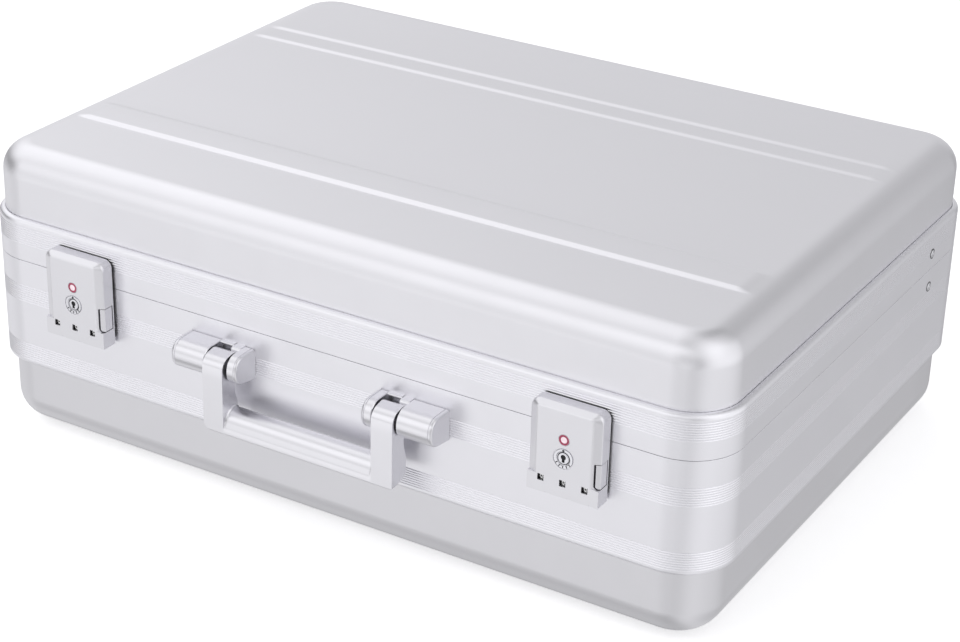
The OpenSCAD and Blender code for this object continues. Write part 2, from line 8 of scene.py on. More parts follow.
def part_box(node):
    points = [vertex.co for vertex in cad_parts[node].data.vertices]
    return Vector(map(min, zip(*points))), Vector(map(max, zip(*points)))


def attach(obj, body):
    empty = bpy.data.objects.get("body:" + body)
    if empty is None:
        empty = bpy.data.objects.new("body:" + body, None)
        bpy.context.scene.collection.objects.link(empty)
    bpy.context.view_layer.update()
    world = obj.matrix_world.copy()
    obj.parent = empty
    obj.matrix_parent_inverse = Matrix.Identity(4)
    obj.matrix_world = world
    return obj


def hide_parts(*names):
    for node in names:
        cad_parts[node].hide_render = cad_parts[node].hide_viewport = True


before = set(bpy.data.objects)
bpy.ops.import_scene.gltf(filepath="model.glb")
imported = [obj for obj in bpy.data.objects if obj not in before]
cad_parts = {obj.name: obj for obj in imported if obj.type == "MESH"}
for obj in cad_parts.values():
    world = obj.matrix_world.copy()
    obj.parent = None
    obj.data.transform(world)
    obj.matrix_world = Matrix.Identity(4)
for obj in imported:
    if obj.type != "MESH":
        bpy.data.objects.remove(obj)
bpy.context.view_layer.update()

# Drone carrying case. Lengths in this script are millimetres, with Y measured from the case's
# centre, until finish_piece() turns them into metres in the frame of the CAD model.
MM = 0.001


def box_mm(node):
    """Lowest and highest corner of a CAD node in millimetres."""
    low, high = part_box(node)
    return [v / MM for v in low], [v / MM for v in high]


BASE_LOW, BASE_HIGH = box_mm("base_frame")
LID_LOW, LID_HIGH = box_mm("lid_frame")
CASE_Y = (BASE_LOW[1] + BASE_HIGH[1]) / 2
CASE_L = BASE_HIGH[0] - BASE_LOW[0]
CASE_W = BASE_HIGH[1] - BASE_LOW[1]
BASE_Z = BASE_LOW[2]
BASE_RIM = BASE_HIGH[2]
LID_RIM = LID_LOW[2]
LID_LIP = LID_HIGH[2]
RIB_H = 1.5
TOP_Z = box_mm("lid_shell")[1][2] - RIB_H
WALL = -CASE_W / 2

CORNER_R = 34
FOOT_H = 3
FLANGE_T = 3
SHEET_T = 1.5
LID_INSET = 4
BASE_INSET = 5
LID_EDGE_R = 18
BASE_EDGE_R = 20
PIN_D = 11
PIN_Z = 103.7
LATCH_X = 173.5
LATCH_D = 12.5
LATCH_W = 45.2
LATCH_Z = 87.5
LATCH_H = 56.5
LATCH_TOP = LATCH_Z + LATCH_H
KEY_Z = LATCH_Z + 24.9
WHEEL_Z = LATCH_Z + 9
WHEEL_D = 6.9
WHEEL_PITCH = 13.9
STUD_Y = 121
STAY_LOW_Z = 112.2
STAY_HIGH_Z = 135.3
SIDES = (("left", -1), ("right", 1))


# ---- materials

def add_node(tree, kind, **values):
    """New node. Each value goes to the input of that name, or else to the node itself."""
    made = tree.nodes.new(kind)
    for key, value in values.items():
        if key in made.inputs.keys():
            made.inputs[key].default_value = value
        else:
            setattr(made, key, value)
    return made


def map_range(tree, source, low, high, start, end, **values):
    """Maps a value from the range start to end onto low to high."""
    ranges = {"From Min": start, "From Max": end, "To Min": low, "To Max": high}
    made = add_node(tree, "ShaderNodeMapRange", **ranges, **values)
    tree.links.new(source, made.inputs["Value"])
    return made.outputs["Result"]


def times(tone, k):
    """A colour k times as bright."""
    return tuple(c * k for c in tone)


class Shader:
    """A small helper round one material's node tree."""

    def __init__(self, name, roughness, metallic):
        self.material = bpy.data.materials.new(name)
        self.material.use_nodes = True
        self.tree = self.material.node_tree
        self.base = self.tree.nodes["Principled BSDF"]
        self.base.inputs["Roughness"].default_value = roughness
        self.base.inputs["Metallic"].default_value = metallic
        self.place = self.tree.nodes.new("ShaderNodeTexCoord").outputs["Object"]

    def node(self, kind, **values):
        return add_node(self.tree, kind, **values)

    def link(self, a, b):
        self.tree.links.new(a, b)

    def noise(self, scale, detail=2.0, rough=0.5, stretch=None):
        made = self.node("ShaderNodeTexNoise", Scale=scale, Detail=detail, Roughness=rough)
        source = self.place
        if stretch:
            mapping = self.node("ShaderNodeMapping", Scale=stretch)
            self.link(source, mapping.inputs["Vector"])
            source = mapping.outputs["Vector"]
        self.link(source, made.inputs["Vector"])
        return made.outputs["Fac"]

    def ramp(self, source, low, high, start=0.0, end=1.0):
        return map_range(self.tree, source, low, high, start, end)

    def colours(self, source, first, second, start=0.3, end=0.7):
        made = self.node("ShaderNodeValToRGB")
        for element, position, tone in zip(made.color_ramp.elements, (start, end), (first, second)):
            element.position = position
            element.color = (*tone, 1.0)
        self.link(source, made.inputs["Fac"])
        self.link(made.outputs["Color"], self.base.inputs["Base Color"])

    def bump(self, source, strength, distance, under=None):
        made = self.node("ShaderNodeBump", Strength=strength, Distance=distance)
        self.link(source, made.inputs["Height"])
        if under is not None:
            self.link(under, made.inputs["Normal"])
        return made.outputs["Normal"]


def blasted_metal(name, tone, roughness, grain=2600.0, depth=0.14, drift=0.006):
    """Bead-blasted, anodised aluminium: fine even grain, slow drift of tone, soft handling marks."""
    s = Shader(name, roughness, 1.0)
    s.colours(s.noise(7.0, 3.0), times(tone, 1 - drift), tone)
    blotch = s.noise(60.0, 4.0, 0.6)
    s.link(s.ramp(blotch, roughness - 0.012, roughness + 0.012, 0.3, 0.7), s.base.inputs["Roughness"])
    fine = s.noise(grain, 2.0, 0.6)
    s.link(s.bump(fine, depth, 0.00003), s.base.inputs["Normal"])
    return s.material


def polished_metal(name, tone, roughness, stretch=(1.0, 1.0, 1.0), scale=900.0, depth=0.08):
    """Turned or drawn steel with fine lines along one direction."""
    s = Shader(name, roughness, 1.0)
    lines = s.noise(scale, 3.0, 0.6, stretch)
    s.colours(lines, times(tone, 0.9), tone)
    s.link(s.ramp(lines, roughness - 0.06, roughness + 0.08), s.base.inputs["Roughness"])
    s.link(s.bump(lines, depth, 0.00004), s.base.inputs["Normal"])
    return s.material


def moulded(name, tone, roughness, grain=1500.0, depth=0.2):
    """Moulded plastic or rubber with a fine spark-eroded grain and dusty patches."""
    s = Shader(name, roughness, 0.0)
    dust = s.noise(90.0, 4.0, 0.6)
    pale = tuple(min(1.0, c * 1.5 + 0.006) for c in tone)
    s.colours(dust, tone, pale, 0.35, 0.8)
    s.link(s.ramp(dust, roughness - 0.08, roughness + 0.08), s.base.inputs["Roughness"])
    s.link(s.bump(s.noise(grain, 2.0), depth, 0.00006), s.base.inputs["Normal"])
    return s.material


def cell_foam(name, tone):
    """Open-cell foam: painted shade in its round pores and painted light on the thin walls between them,
    with a matt nap over them.
    """
    s = Shader(name, 0.95, 0.0)
    cells = s.node("ShaderNodeTexVoronoi", Scale=950.0)
    s.link(s.place, cells.inputs["Vector"])
    # Painted shade and light: the colour darkens towards each cell's middle, where a pore lies in shade,
    # and lightens on the walls between.
    s.colours(cells.outputs["Distance"], times(tone, 0.45), times(tone, 1.7), 0.05, 0.75)
    soft = s.bump(s.noise(160.0, 4.0, 0.6), 0.25, 0.0006)
    s.link(s.bump(cells.outputs["Distance"], 0.6, 0.0004, soft), s.base.inputs["Normal"])
    s.base.inputs["Sheen Weight"].default_value = 0.25
    s.base.inputs["Sheen Roughness"].default_value = 0.6
    return s.material


SILVER = (0.845, 0.84, 0.87)
M = {
    "shell": blasted_metal("lid_shell_anodised", SILVER, 0.40),
    # The base pan is the same anodised sheet as the lid; its darker tone is painted shade, for the shadowed
    # floor it reflects.
    "base_shell": blasted_metal("base_shell_painted_shade", (0.775, 0.77, 0.795), 0.42),
    "frame": blasted_metal("frame_anodised", (0.885, 0.88, 0.915), 0.39, grain=3200.0),
    "cast": blasted_metal("satin_plated", (0.785, 0.78, 0.81), 0.29, grain=3600.0, depth=0.08),
    "cover": blasted_metal("satin_cover", (0.81, 0.805, 0.835), 0.37, grain=3600.0, depth=0.08),
    "steel": polished_metal("drawn_steel", (0.62, 0.62, 0.65), 0.3, (1.0, 14.0, 14.0)),
    "turned": polished_metal("turned_steel", (0.74, 0.74, 0.77), 0.2, scale=1500.0),
    "plated": polished_metal("plated_steel", (0.60, 0.60, 0.63), 0.34, (1.0, 8.0, 8.0)),
    "dark": moulded("wheel_plastic", (0.008, 0.008, 0.009), 0.5),
    "digit": moulded("digit_paint", (0.85, 0.85, 0.85), 0.5, depth=0.05),
    "pale": moulded("indicator_pale", (0.80, 0.62, 0.66), 0.4, depth=0.05),
    "mark": moulded("mark_paint", (0.03, 0.03, 0.035), 0.5, depth=0.05),
    "red": moulded("indicator_enamel", (0.27, 0.03, 0.07), 0.28, depth=0.03),
    "rubber": moulded("foot_rubber", (0.018, 0.018, 0.019), 0.75),
    "foam": cell_foam("charcoal_foam", (0.035, 0.035, 0.038)),
}


# ---- mesh tools

MERGE = 0.0005
FLAT_ANGLE = 0.002
BEVEL_ANGLE = 32


def arc(cx, cy, r, a0, a1, n):
    """n + 1 points on a circle from angle a0 to a1, in degrees."""
    turn = [math.radians(a0 + (a1 - a0) * k / n) for k in range(n + 1)]
    return [(cx + r * math.cos(a), cy + r * math.sin(a)) for a in turn]


def smoothstep(t):
    t = min(1.0, max(0.0, t))
    return t * t * (3 - 2 * t)


def new_bmesh(verts, faces):
    """Mesh from points and faces, with doubled points merged and the faces looking outwards."""
    bm = bmesh.new()
    made = [bm.verts.new(v) for v in verts]
    for face in faces:
        corners = [made[i] for i in face]
        if len(set(corners)) > 2:
            bm.faces.new(corners)
    bmesh.ops.remove_doubles(bm, verts=bm.verts, dist=MERGE)
    bmesh.ops.recalc_face_normals(bm, faces=bm.faces)
    return bm


def add_object(name, data):
    """New object in the scene. A bmesh given as its data is freed."""
    if isinstance(data, bmesh.types.BMesh):
        bm, data = data, bpy.data.meshes.new(name)
        bm.to_mesh(data)
        bm.free()
    obj = bpy.data.objects.new(name, data)
    bpy.context.scene.collection.objects.link(obj)
    return obj


def take_mesh(mesh, bm=None):
    """Moves a mesh's faces to a bmesh and deletes the mesh."""
    if bm is None:
        bm = bmesh.new()
    bm.from_mesh(mesh)
    bpy.data.meshes.remove(mesh)
    return bm


def finish_piece(bm, name, kind, body, *replaces, slotted=True, angle=35.0, bevel=0.0, steps=2):
    """Turns a bmesh in millimetres into a shaded object that rides on a body and stands for CAD nodes."""
    bmesh.ops.scale(bm, vec=(MM, MM, MM), verts=bm.verts)
    shift(bm, (0, CASE_Y * MM, 0))
    obj = add_object(name, bm)
    obj.data.materials.append(M[kind])
    if bevel:
        made = obj.modifiers.new("bevel", "BEVEL")
        made.width = bevel * MM
        made.segments = steps
        made.limit_method = "ANGLE"
        made.angle_limit = math.radians(BEVEL_ANGLE)
        made.miter_outer = "MITER_ARC"
        bake(obj)
    for polygon in obj.data.polygons:
        polygon.use_smooth = True
    obj.data.set_sharp_from_angle(angle=math.radians(angle))
    weighted = obj.modifiers.new("weighted", "WEIGHTED_NORMAL")
    weighted.keep_sharp = True
    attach(obj, body)
    if replaces:
        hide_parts(*replaces)
    return obj


def bake(obj):
    """Applies every modifier of an object to its mesh."""
    graph = bpy.context.evaluated_depsgraph_get()
    graph.update()
    made = bpy.data.meshes.new_from_object(obj.evaluated_get(graph))
    old = obj.data
    obj.modifiers.clear()
    obj.data = made
    bpy.data.meshes.remove(old)


def shift(bm, vec):
    bmesh.ops.translate(bm, vec=vec, verts=bm.verts)


def rotate(bm, degrees, axis):
    turn = Matrix.Rotation(math.radians(degrees), 3, axis)
    bmesh.ops.rotate(bm, cent=(0, 0, 0), matrix=turn, verts=bm.verts)


def join(*parts):
    """Puts several bmeshes in one."""
    whole = bmesh.new()
    for part in parts:
        mesh = bpy.data.meshes.new("part")
        part.to_mesh(mesh)
        part.free()
        take_mesh(mesh, whole)
    return whole


def bands(start, n, count):
    """Faces of count bands between rings of n points each, the first point being number start."""
    faces = []
    for j in range(count):
        for k in range(n):
            a, b = start + j * n + k, start + j * n + (k + 1) % n
            faces.append((a, b, b + n, a + n))
    return faces


def loft(rings):
    """Closed solid through rings of points that all have the same length."""
    n = len(rings[0])
    verts = [point for ring in rings for point in ring]
    faces = bands(0, n, len(rings) - 1)
    faces.append(tuple(range(n)))
    faces.append(tuple(range(len(verts) - 1, len(verts) - n - 1, -1)))
    return new_bmesh(verts, faces)


def prism_x(outline, x0, x1):
    """Closed prism along X from an outline of (y, z) points."""
    return loft([[(x, y, z) for y, z in outline] for x in (x0, x1)])


def prism_y(outline, y0, y1):
    """Closed prism along Y from an outline of (x, z) points."""
    return loft([[(x, y, z) for x, z in outline] for y in (y0, y1)])


def prism_z(outline, z0, z1):
    """Closed prism along Z from an outline of (x, y) points."""
    return loft([[(x, y, z) for x, y in outline] for z in (z0, z1)])


def block(low, high):
    """Box from its low to its high corner."""
    outline = [(low[0], low[1]), (high[0], low[1]), (high[0], high[1]), (low[0], high[1])]
    return prism_z(outline, low[2], high[2])


def lathe(profile, centre, axis, steps=32):
    """Turned solid. profile holds (distance along the axis, radius) and starts and ends on the axis."""
    verts = []
    for along, radius in profile:
        for k in range(steps):
            a = 2 * math.pi * k / steps
            c, s = radius * math.cos(a), radius * math.sin(a)
            offset = {"x": (along, c, s), "y": (c, along, s), "z": (c, s, along)}[axis]
            verts.append(tuple(centre[i] + offset[i] for i in range(3)))
    return new_bmesh(verts, bands(0, steps, len(profile) - 1))


def tube(profile, centre, axis, steps=32):
    """Turned ring: like lathe(), but the profile closes on itself and keeps off the axis."""
    return lathe(list(profile) + [profile[0]], centre, axis, steps)


def rod(start, end, r, centre, axis, steps):
    """Plain round rod along an axis."""
    return lathe([(start, 0.0), (start, r), (end, r), (end, 0.0)], centre, axis, steps)


def cut(body, *tools):
    """Subtracts closed bmeshes from a bmesh."""
    return boolean(body, "DIFFERENCE", tools)


def boolean(body, kind, tools):
    """Joins or subtracts closed bmeshes, then clears up edges inside flat faces."""
    def as_object(bm, name):
        bmesh.ops.triangulate(bm, faces=[f for f in bm.faces if len(f.verts) > 4])
        return add_object(name, bm)
    target = as_object(body, "target")
    for tool in tools:
        other = as_object(tool, "tool")
        made = target.modifiers.new("boolean", "BOOLEAN")
        made.operation = kind
        made.solver = "EXACT"
        made.object = other
        bake(target)
        used = other.data
        bpy.data.objects.remove(other)
        bpy.data.meshes.remove(used)
    used = target.data
    bpy.data.objects.remove(target)
    result = take_mesh(used)
    flat = [e for e in result.edges if len(e.link_faces) == 2 and e.calc_face_angle(1.0) < FLAT_ANGLE]
    bmesh.ops.dissolve_edges(result, edges=flat, use_verts=False)
    bmesh.ops.remove_doubles(result, verts=result.verts, dist=MERGE)
    return result


def stations(l, w, r, steps):
    """Places round a rounded rectangle: corner centre and outward direction, anticlockwise."""
    found = []
    for sx, sy, start in ((1, -1, -90), (1, 1, 0), (-1, 1, 90), (-1, -1, 180)):
        for k in range(steps + 1):
            a = math.radians(start + 90 * k / steps)
            found.append((sx * (l / 2 - r), sy * (w / 2 - r), math.cos(a), math.sin(a)))
    return found


def sweep(places, profile):
    """Ring with a closed profile of (distance from the corner's centre, z)."""
    n, m = len(places), len(profile)
    verts = [(x + dx * u, y + dy * u, z) for x, y, dx, dy in places for u, z in profile]
    faces = []
    for i in range(n):
        for j in range(m):
            a, b = i * m, ((i + 1) % n) * m
            k = (j + 1) % m
            faces.append((a + j, b + j, b + k, a + k))
    return new_bmesh(verts, faces)


# ---- frames

REEDS = 8
REED_PITCH = 1.55
REED_DEPTH = 0.36
REED_LAND = 0.42
EDGE_R = 0.3
LIP_R = 3.5
LIP_GAP = 0.19
PART_GAP = 0.2
CORNER_STEPS = 20
BASE_REEDS = (2.4, 43.6)
LID_REEDS = 11.1
BOTTOM_R = 1.6
FRAME_T = 2.5
FLANGE_W = 8
GROOVE_D = 1.9


def reeds(x, z):
    """Points of a reeded strip going up: flat lands with a shallow V groove after each."""
    points = []
    for i in range(REEDS):
        low = z + i * REED_PITCH
        land = low + REED_LAND * REED_PITCH
        valley = low + (1 + REED_LAND) / 2 * REED_PITCH
        points += [(x, low), (x, land), (x - REED_DEPTH, valley)]
    return points + [(x, z + REEDS * REED_PITCH)]


def base_frame_profile():
    """Section of the base frame: reeded wall, flange with a groove for the seal, and a foot."""
    r = CORNER_R
    low, high = BASE_Z, (BASE_RIM + LID_RIM - PART_GAP) / 2
    outer = arc(r - BOTTOM_R, low + BOTTOM_R, BOTTOM_R, -90, 0, 6)
    outer += reeds(r, low + BASE_REEDS[0]) + reeds(r, low + BASE_REEDS[1])
    outer += arc(r - EDGE_R, high - EDGE_R, EDGE_R, 0, 90, 4)
    groove = [(r - 4, high), (r - 4, high - GROOVE_D), (r - 6.5, high - GROOVE_D), (r - 6.5, high)]
    inner = [(r - FLANGE_W, high), (r - FLANGE_W, high - FLANGE_T), (r - FRAME_T, high - FLANGE_T)]
    reach = r - BASE_INSET + 0.3
    return outer + groove + inner + [(r - FRAME_T, low + FLANGE_T), (reach, low + FLANGE_T), (reach, low)]


def lid_frame_profile():
    """Section of the lid frame: flange, reeded wall and a quarter-round lip over the lid's side."""
    r = CORNER_R
    low, high = (BASE_RIM + LID_RIM + PART_GAP) / 2, LID_LIP
    outer = [(r - FLANGE_W, low)] + arc(r - EDGE_R, low + EDGE_R, EDGE_R, -90, 0, 4)
    outer += reeds(r, low + LID_REEDS)
    lip = arc(r - LIP_R, high - LIP_R, LIP_R, 0, 86, 14)
    edge = r - LID_INSET + LIP_GAP
    inner = [(edge, high - 0.1), (edge, high - 4), (r - FRAME_T, high - 5)]
    return outer + lip + inner + [(r - FRAME_T, low + FLANGE_T), (r - FLANGE_W, low + FLANGE_T)]


def seal_profile():
    """Section of the rubber strip in the base frame's groove: two soft lips on a foot."""
    low, high = box_mm("seal")
    inner, outer, r = CORNER_R - 6.3, CORNER_R - 4.2, 0.5
    z0, z1 = low[2], high[2]
    profile = [(inner, z0), (outer, z0)]
    profile += arc(outer - r, z1 - r, r, 0, 90, 4) + [((inner + outer) / 2, z1 - 0.45)]
    return profile + arc(inner + r, z1 - r, r, 90, 180, 4)


def make_frames():
    places = stations(CASE_L, CASE_W, CORNER_R, CORNER_STEPS)
    for profile, piece, kind, body, node in (
            (base_frame_profile(), "base_extrusion", "frame", "base", "base_frame"),
            (lid_frame_profile(), "lid_extrusion", "frame", "lid", "lid_frame"),
            (seal_profile(), "seal_strip", "rubber", "base", "seal")):
        finish_piece(sweep(places, profile), piece, kind, body, node)


# ---- shells

def spaced(a, b, step):
    """Even stops from a to b, no further apart than step."""
    n = max(1, math.ceil((b - a) / step))
    return [a + (b - a) * k / n for k in range(n + 1)]


def stops_between(a, b, marks, coarse):
    """Stops from a to b that are fine inside the marked spans (low, high, step)."""
    found = {round(v, 4) for v in spaced(a, b, coarse)}
    for low, high, step in marks:
        if max(a, low) >= min(b, high):
            continue
        found = {v for v in found if not low < v < high}
        found |= {round(v, 4) for v in spaced(max(a, low), min(b, high), step)}
    return sorted(found)


class Plan:
    """Rows and columns that fill a rounded rectangle and end on its edge."""

    def __init__(self, half_l, half_w, r, x_marks=(), y_marks=(), coarse=30.0, corner=10):
        flat_x, flat_y = half_l - r, half_w - r

        def corner_rows(y, start):
            turn = [math.radians(start + 90 * k / corner) for k in range(corner + 1)]
            return [(y + r * math.sin(a), flat_x + r * math.cos(a), math.cos(a), math.sin(a)) for a in turn]

        rows = corner_rows(-flat_y, -90)
        rows += [(y, half_l, 1.0, 0.0) for y in stops_between(-flat_y, flat_y, y_marks, coarse)[1:-1]]
        rows += corner_rows(flat_y, 0)
        self.rows, self.flat_x, self.half_l = rows, flat_x, half_l
        self.inner = stops_between(-flat_x, flat_x, x_marks, coarse)
        self.outer = [v for v in stops_between(flat_x, half_l, x_marks, r / 3.0) if v > flat_x]

    def row_x(self, row):
        """The stops along one row, squeezed so that the last ones end on the edge."""
        reach = (row[1] - self.flat_x) / (self.half_l - self.flat_x)
        out = [self.flat_x + (v - self.flat_x) * reach for v in self.outer]
        return [-v for v in reversed(out)] + self.inner + out

    def grid(self):
        return [[(x, row[0]) for x in self.row_x(row)] for row in self.rows]

    def edge(self):
        """The boundary, anticlockwise, with the outward direction at each point."""
        first, last = self.rows[0], self.rows[-1]
        loop = [(x, first[0], 0.0, -1.0) for x in self.inner[:-1]]
        loop += [(row[1], row[0], row[2], row[3]) for row in self.rows]
        loop += [(x, last[0], 0.0, 1.0) for x in reversed(self.inner[1:-1])]
        loop += [(-row[1], row[0], -row[2], row[3]) for row in reversed(self.rows)]
        return loop


def cap_and_skirt(plan, level, relief, skirt):
    """Sheet with a cap at z = level + relief(x, y) and rings round it. Each ring of the skirt is
    (offset outward, z, share of the relief)."""
    verts, faces = [], []
    grid = plan.grid()
    columns = len(grid[0])
    for row in grid:
        verts += [(x, y, level + relief(x, y)) for x, y in row]
    for j in range(len(grid) - 1):
        for i in range(columns - 1):
            a = j * columns + i
            faces.append((a, a + 1, a + columns + 1, a + columns))
    loop = plan.edge()
    start, n = len(verts), len(loop)
    for offset, z, share in [(0.0, level, 1.0)] + list(skirt):
        ring = [(x + dx * offset, y + dy * offset) for x, y, dx, dy in loop]
        verts += [(x, y, z + share * relief(x, y)) for x, y in ring]
    return verts, faces + bands(start, n, len(skirt))


def pan(plan, top, rim, radius, direction, relief):
    """Pressed pan of sheet metal: outside, inside and rim, closed all round.
    direction is 1 where the closed side is up and -1 where it is down."""
    def fillet(r, level):
        rings = []
        for k in range(1, 15):
            a = math.radians(90 * k / 14)
            rings.append((r * math.sin(a), level - direction * r * (1 - math.cos(a)), math.cos(a)))
        return rings + [(r, rim, 0.0)]
    inner = top - direction * SHEET_T
    v1, f1 = cap_and_skirt(plan, top, relief, fillet(radius, top))
    v2, f2 = cap_and_skirt(plan, inner, relief, fillet(radius - SHEET_T, inner))
    n = len(plan.edge())
    shift = len(v1)
    faces = f1 + [tuple(i + shift for i in face) for face in f2]
    for k in range(n):
        a, b = len(v1) - n + k, len(v1) - n + (k + 1) % n
        faces.append((a, b, b + shift, a + shift))
    return new_bmesh(v1 + v2, faces)


FRONT_RIB = (-113.5, -87)
REAR_RIB = (76.3, 97.4)
RIB_SLOPE = 4.2
REAR_SLOPE = 5.2
REAR_SHARE = 0.5
RIB_FADE = (229.0, 241.0)
RIB_BAND = 2.6


def rib_height(x, y):
    """Raised bands across the lid: a broad one in front and two ridges with long backs behind.
    Their ends run out before the side fillets."""
    low, high = FRONT_RIB
    up = smoothstep((y - low + RIB_SLOPE / 2) / RIB_SLOPE)
    down = smoothstep((high - y + RIB_SLOPE) / (2 * RIB_SLOPE))
    total = min(up, down)
    for edge in REAR_RIB:
        length = REAR_RIB[1] - REAR_RIB[0] - REAR_SLOPE
        up = smoothstep((y - edge + REAR_SLOPE / 2) / REAR_SLOPE)
        back = smoothstep((edge + REAR_SLOPE / 2 + length - y) / length)
        total += REAR_SHARE * min(up, back)
    fade = smoothstep((RIB_FADE[1] - abs(x)) / (RIB_FADE[1] - RIB_FADE[0]))
    return RIB_H * total * fade


def shell_plan(inset, edge_r, *marks):
    """Plan of a pan's flat side, inside its edge fillet."""
    gap = inset + edge_r
    return Plan(CASE_L / 2 - gap, CASE_W / 2 - gap, CORNER_R - gap, *marks)


def make_shells():
    marks = [(edge - RIB_BAND, edge + RIB_BAND, 0.35) for edge in FRONT_RIB + REAR_RIB]
    plan = shell_plan(LID_INSET, LID_EDGE_R, [(RIB_FADE[0] - 1, RIB_FADE[1] - 3, 1.0)], marks)
    bm = pan(plan, TOP_Z, LID_RIM + FLANGE_T, LID_EDGE_R, 1, rib_height)
    finish_piece(bm, "lid_pressing", "shell", "lid", "lid_shell")
    plan = shell_plan(BASE_INSET, BASE_EDGE_R)
    bm = pan(plan, FOOT_H, BASE_RIM - FLANGE_T, BASE_EDGE_R, -1, lambda x, y: 0.0)
    finish_piece(bm, "base_pressing", "base_shell", "base", "base_shell")


def make_feet():
    """Turned rubber feet with a soft edge, a recess and a screw in it."""
    for row in ("front", "rear"):
        for side in ("left", "right"):
            name = f"foot_{row}_{side}"
            low, high = box_mm(name)
            x, y = (low[0] + high[0]) / 2, (low[1] + high[1]) / 2 - CASE_Y
            r = (high[0] - low[0]) / 2
            profile = [(FOOT_H, 0.0), (FOOT_H, r - 0.5), (FOOT_H - 0.3, r), (1.0, r)]
            profile += [(c, s) for s, c in reversed(arc(r - 1.0, 1.0, 1.0, -90, 0, 5))]
            profile += [(0.0, 5.0), (0.3, 4.6), (1.4, 4.5), (1.4, 0.0)]
            foot = lathe(profile, (x, y, 0), "z", 40)
            finish_piece(foot, f"{name}_rubber", "rubber", "base", name)
            screw = lathe([(1.4, 0.0), (1.4, 3.6), (1.0, 3.7), (0.7, 2.8), (0.6, 0.0)], (x, y, 0), "z", 24)
            screw = cut(screw, block((x - 2.4, y - 0.4, 0.3), (x + 2.4, y + 0.4, 1.05)))
            finish_piece(screw, f"{name}_screw", "turned", "base")


# ---- handle

BRACKET_IN = 44.3
RING_W = 7.2
SLOT_W = 16.8
BARREL_W = 24.2
BRACKET_D = 19.8
BRACKET_H = 18.7
BRACKET_R = 8.6
UNDER_DROP = 1.6
LINE_W = 0.8
LINE_D = 0.45
CHAMFER = 1.1
BAIL_HALF = 67.5
ARM_W = 14.6
ARM_FRONT = 11.0
ARM_EDGE = 0.6
GRIP_LOW = 62.2
COLLAR = 0.75
GRIP_HIGH = 77.1
LOW_EDGE_R = 0.9
HEEL_R = {"left": 5.5, "right": 1.6}


def d_outline(grow=0.0):
    """Section of a bracket: flat on the wall and rounded in front. (y, z) points."""
    low = PIN_Z - BRACKET_H / 2 - grow
    high = PIN_Z + BRACKET_H / 2 + grow
    front = WALL - BRACKET_D - grow
    r = BRACKET_R + grow
    points = [(WALL, high - 1.0), (WALL - 0.25, high - 0.35), (WALL - 0.9, high)]
    points += arc(front + r, high - r, r, 90, 180, 10)
    return points + arc(front + r, low + r, r, 180, 258, 9) + [(WALL, low - UNDER_DROP)]


def barrel_solid(x0, x1, line, side):
    """D-shaped barrel along X with a chamfered outer end and a fine sunk line near it, at x = line."""
    steps = [(x0, -0.5), (x0 + 0.5, 0.0)]
    steps += [(line - LINE_W, 0.0), (line - LINE_W * 0.6, -LINE_D)]
    steps += [(line - LINE_W * 0.4, -LINE_D), (line, 0.0)]
    steps += [(x1 - CHAMFER, 0.0), (x1 - CHAMFER * 0.3, -CHAMFER * 0.45), (x1, -CHAMFER)]
    rings = [[(side * x, y, z) for y, z in d_outline(g)] for x, g in steps]
    for ring, (x, g) in zip(rings, steps):
        for k in (0, len(ring) - 1):
            ring[k] = (ring[k][0], WALL, ring[k][2])
    return loft(rings)


def slot_back(x0, x1):
    """What closes the slot behind an arm: a lip along its top, a recess, and a sleeve on the right."""
    low = PIN_Z - BRACKET_H / 2
    high = PIN_Z + BRACKET_H / 2
    split = x0 + (x1 - x0) * 0.6
    lip = [(WALL, high - 1.8), (WALL, high), (WALL - 2.0, high), (WALL - 2.5, high - 0.3)]
    lip += [(WALL - 2.7, high - 0.8), (WALL - 2.5, high - 1.4), (WALL - 2.0, high - 1.8)]
    plate = [(WALL, low + 0.5), (WALL, high - 1.5), (WALL - 0.9, high - 1.5), (WALL - 0.9, low + 0.5)]
    sleeve = [(WALL, low + 2), (WALL, high)] + arc(WALL - 4.0, high - 1.9, 1.9, 90, 180, 5)
    sleeve += [(WALL - 5.9, PIN_Z - 1), (WALL - 5.0, low + 2)]
    return [prism_x(lip, x0, split), prism_x(plate, x0, split), prism_x(sleeve, split + 0.45, x1)]


def make_brackets():
    """Each bracket is a narrow ring inside its arm and a long barrel outside it."""
    slot_in = BRACKET_IN + RING_W
    slot_out = slot_in + SLOT_W
    end = slot_out + BARREL_W
    for name, side in SIDES:
        ring = barrel_solid(-slot_in, -BRACKET_IN, -BRACKET_IN - 1.7, -side)
        barrel = barrel_solid(slot_out, end, end - 2.2, side)
        x0, x1 = sorted((side * slot_in, side * slot_out))
        piece = f"handle_bracket_{name}"
        bm = join(ring, barrel, *slot_back(x0, x1))
        finish_piece(bm, f"{piece}_casting", "cast", "base", piece)


def arm_outline():
    """Side view of one arm, (y, z) points from the front's foot upwards, then down the back."""
    y = WALL - PIN_D
    front = y - ARM_FRONT
    points = arc(front + LOW_EDGE_R, GRIP_LOW + LOW_EDGE_R, LOW_EDGE_R, 260, 180, 5)
    points += [(front, 70.0), (front, 80.0), (front, 90.0), (front, 99.0)]
    points += arc(front + 8.0, PIN_Z - 0.2, 8.0, 176, 96, 9)[1:]
    points += arc(y, PIN_Z, 8.5, 88, -38, 12)
    points += [(y + 2.6, 94.5), (y + 1.4, 90.5), (y + 1.6, 87.0), (y + 2.4, 83.0), (y + 3.6, 79.0)]
    points += [(y + 4.0, 75.5), (y + 4.0, 70.5), (y + 3.2, 67.6), (y + 0.9, 65.6), (y - 3.0, 64.2)]
    return points + [(y - 7.0, 62.9)]


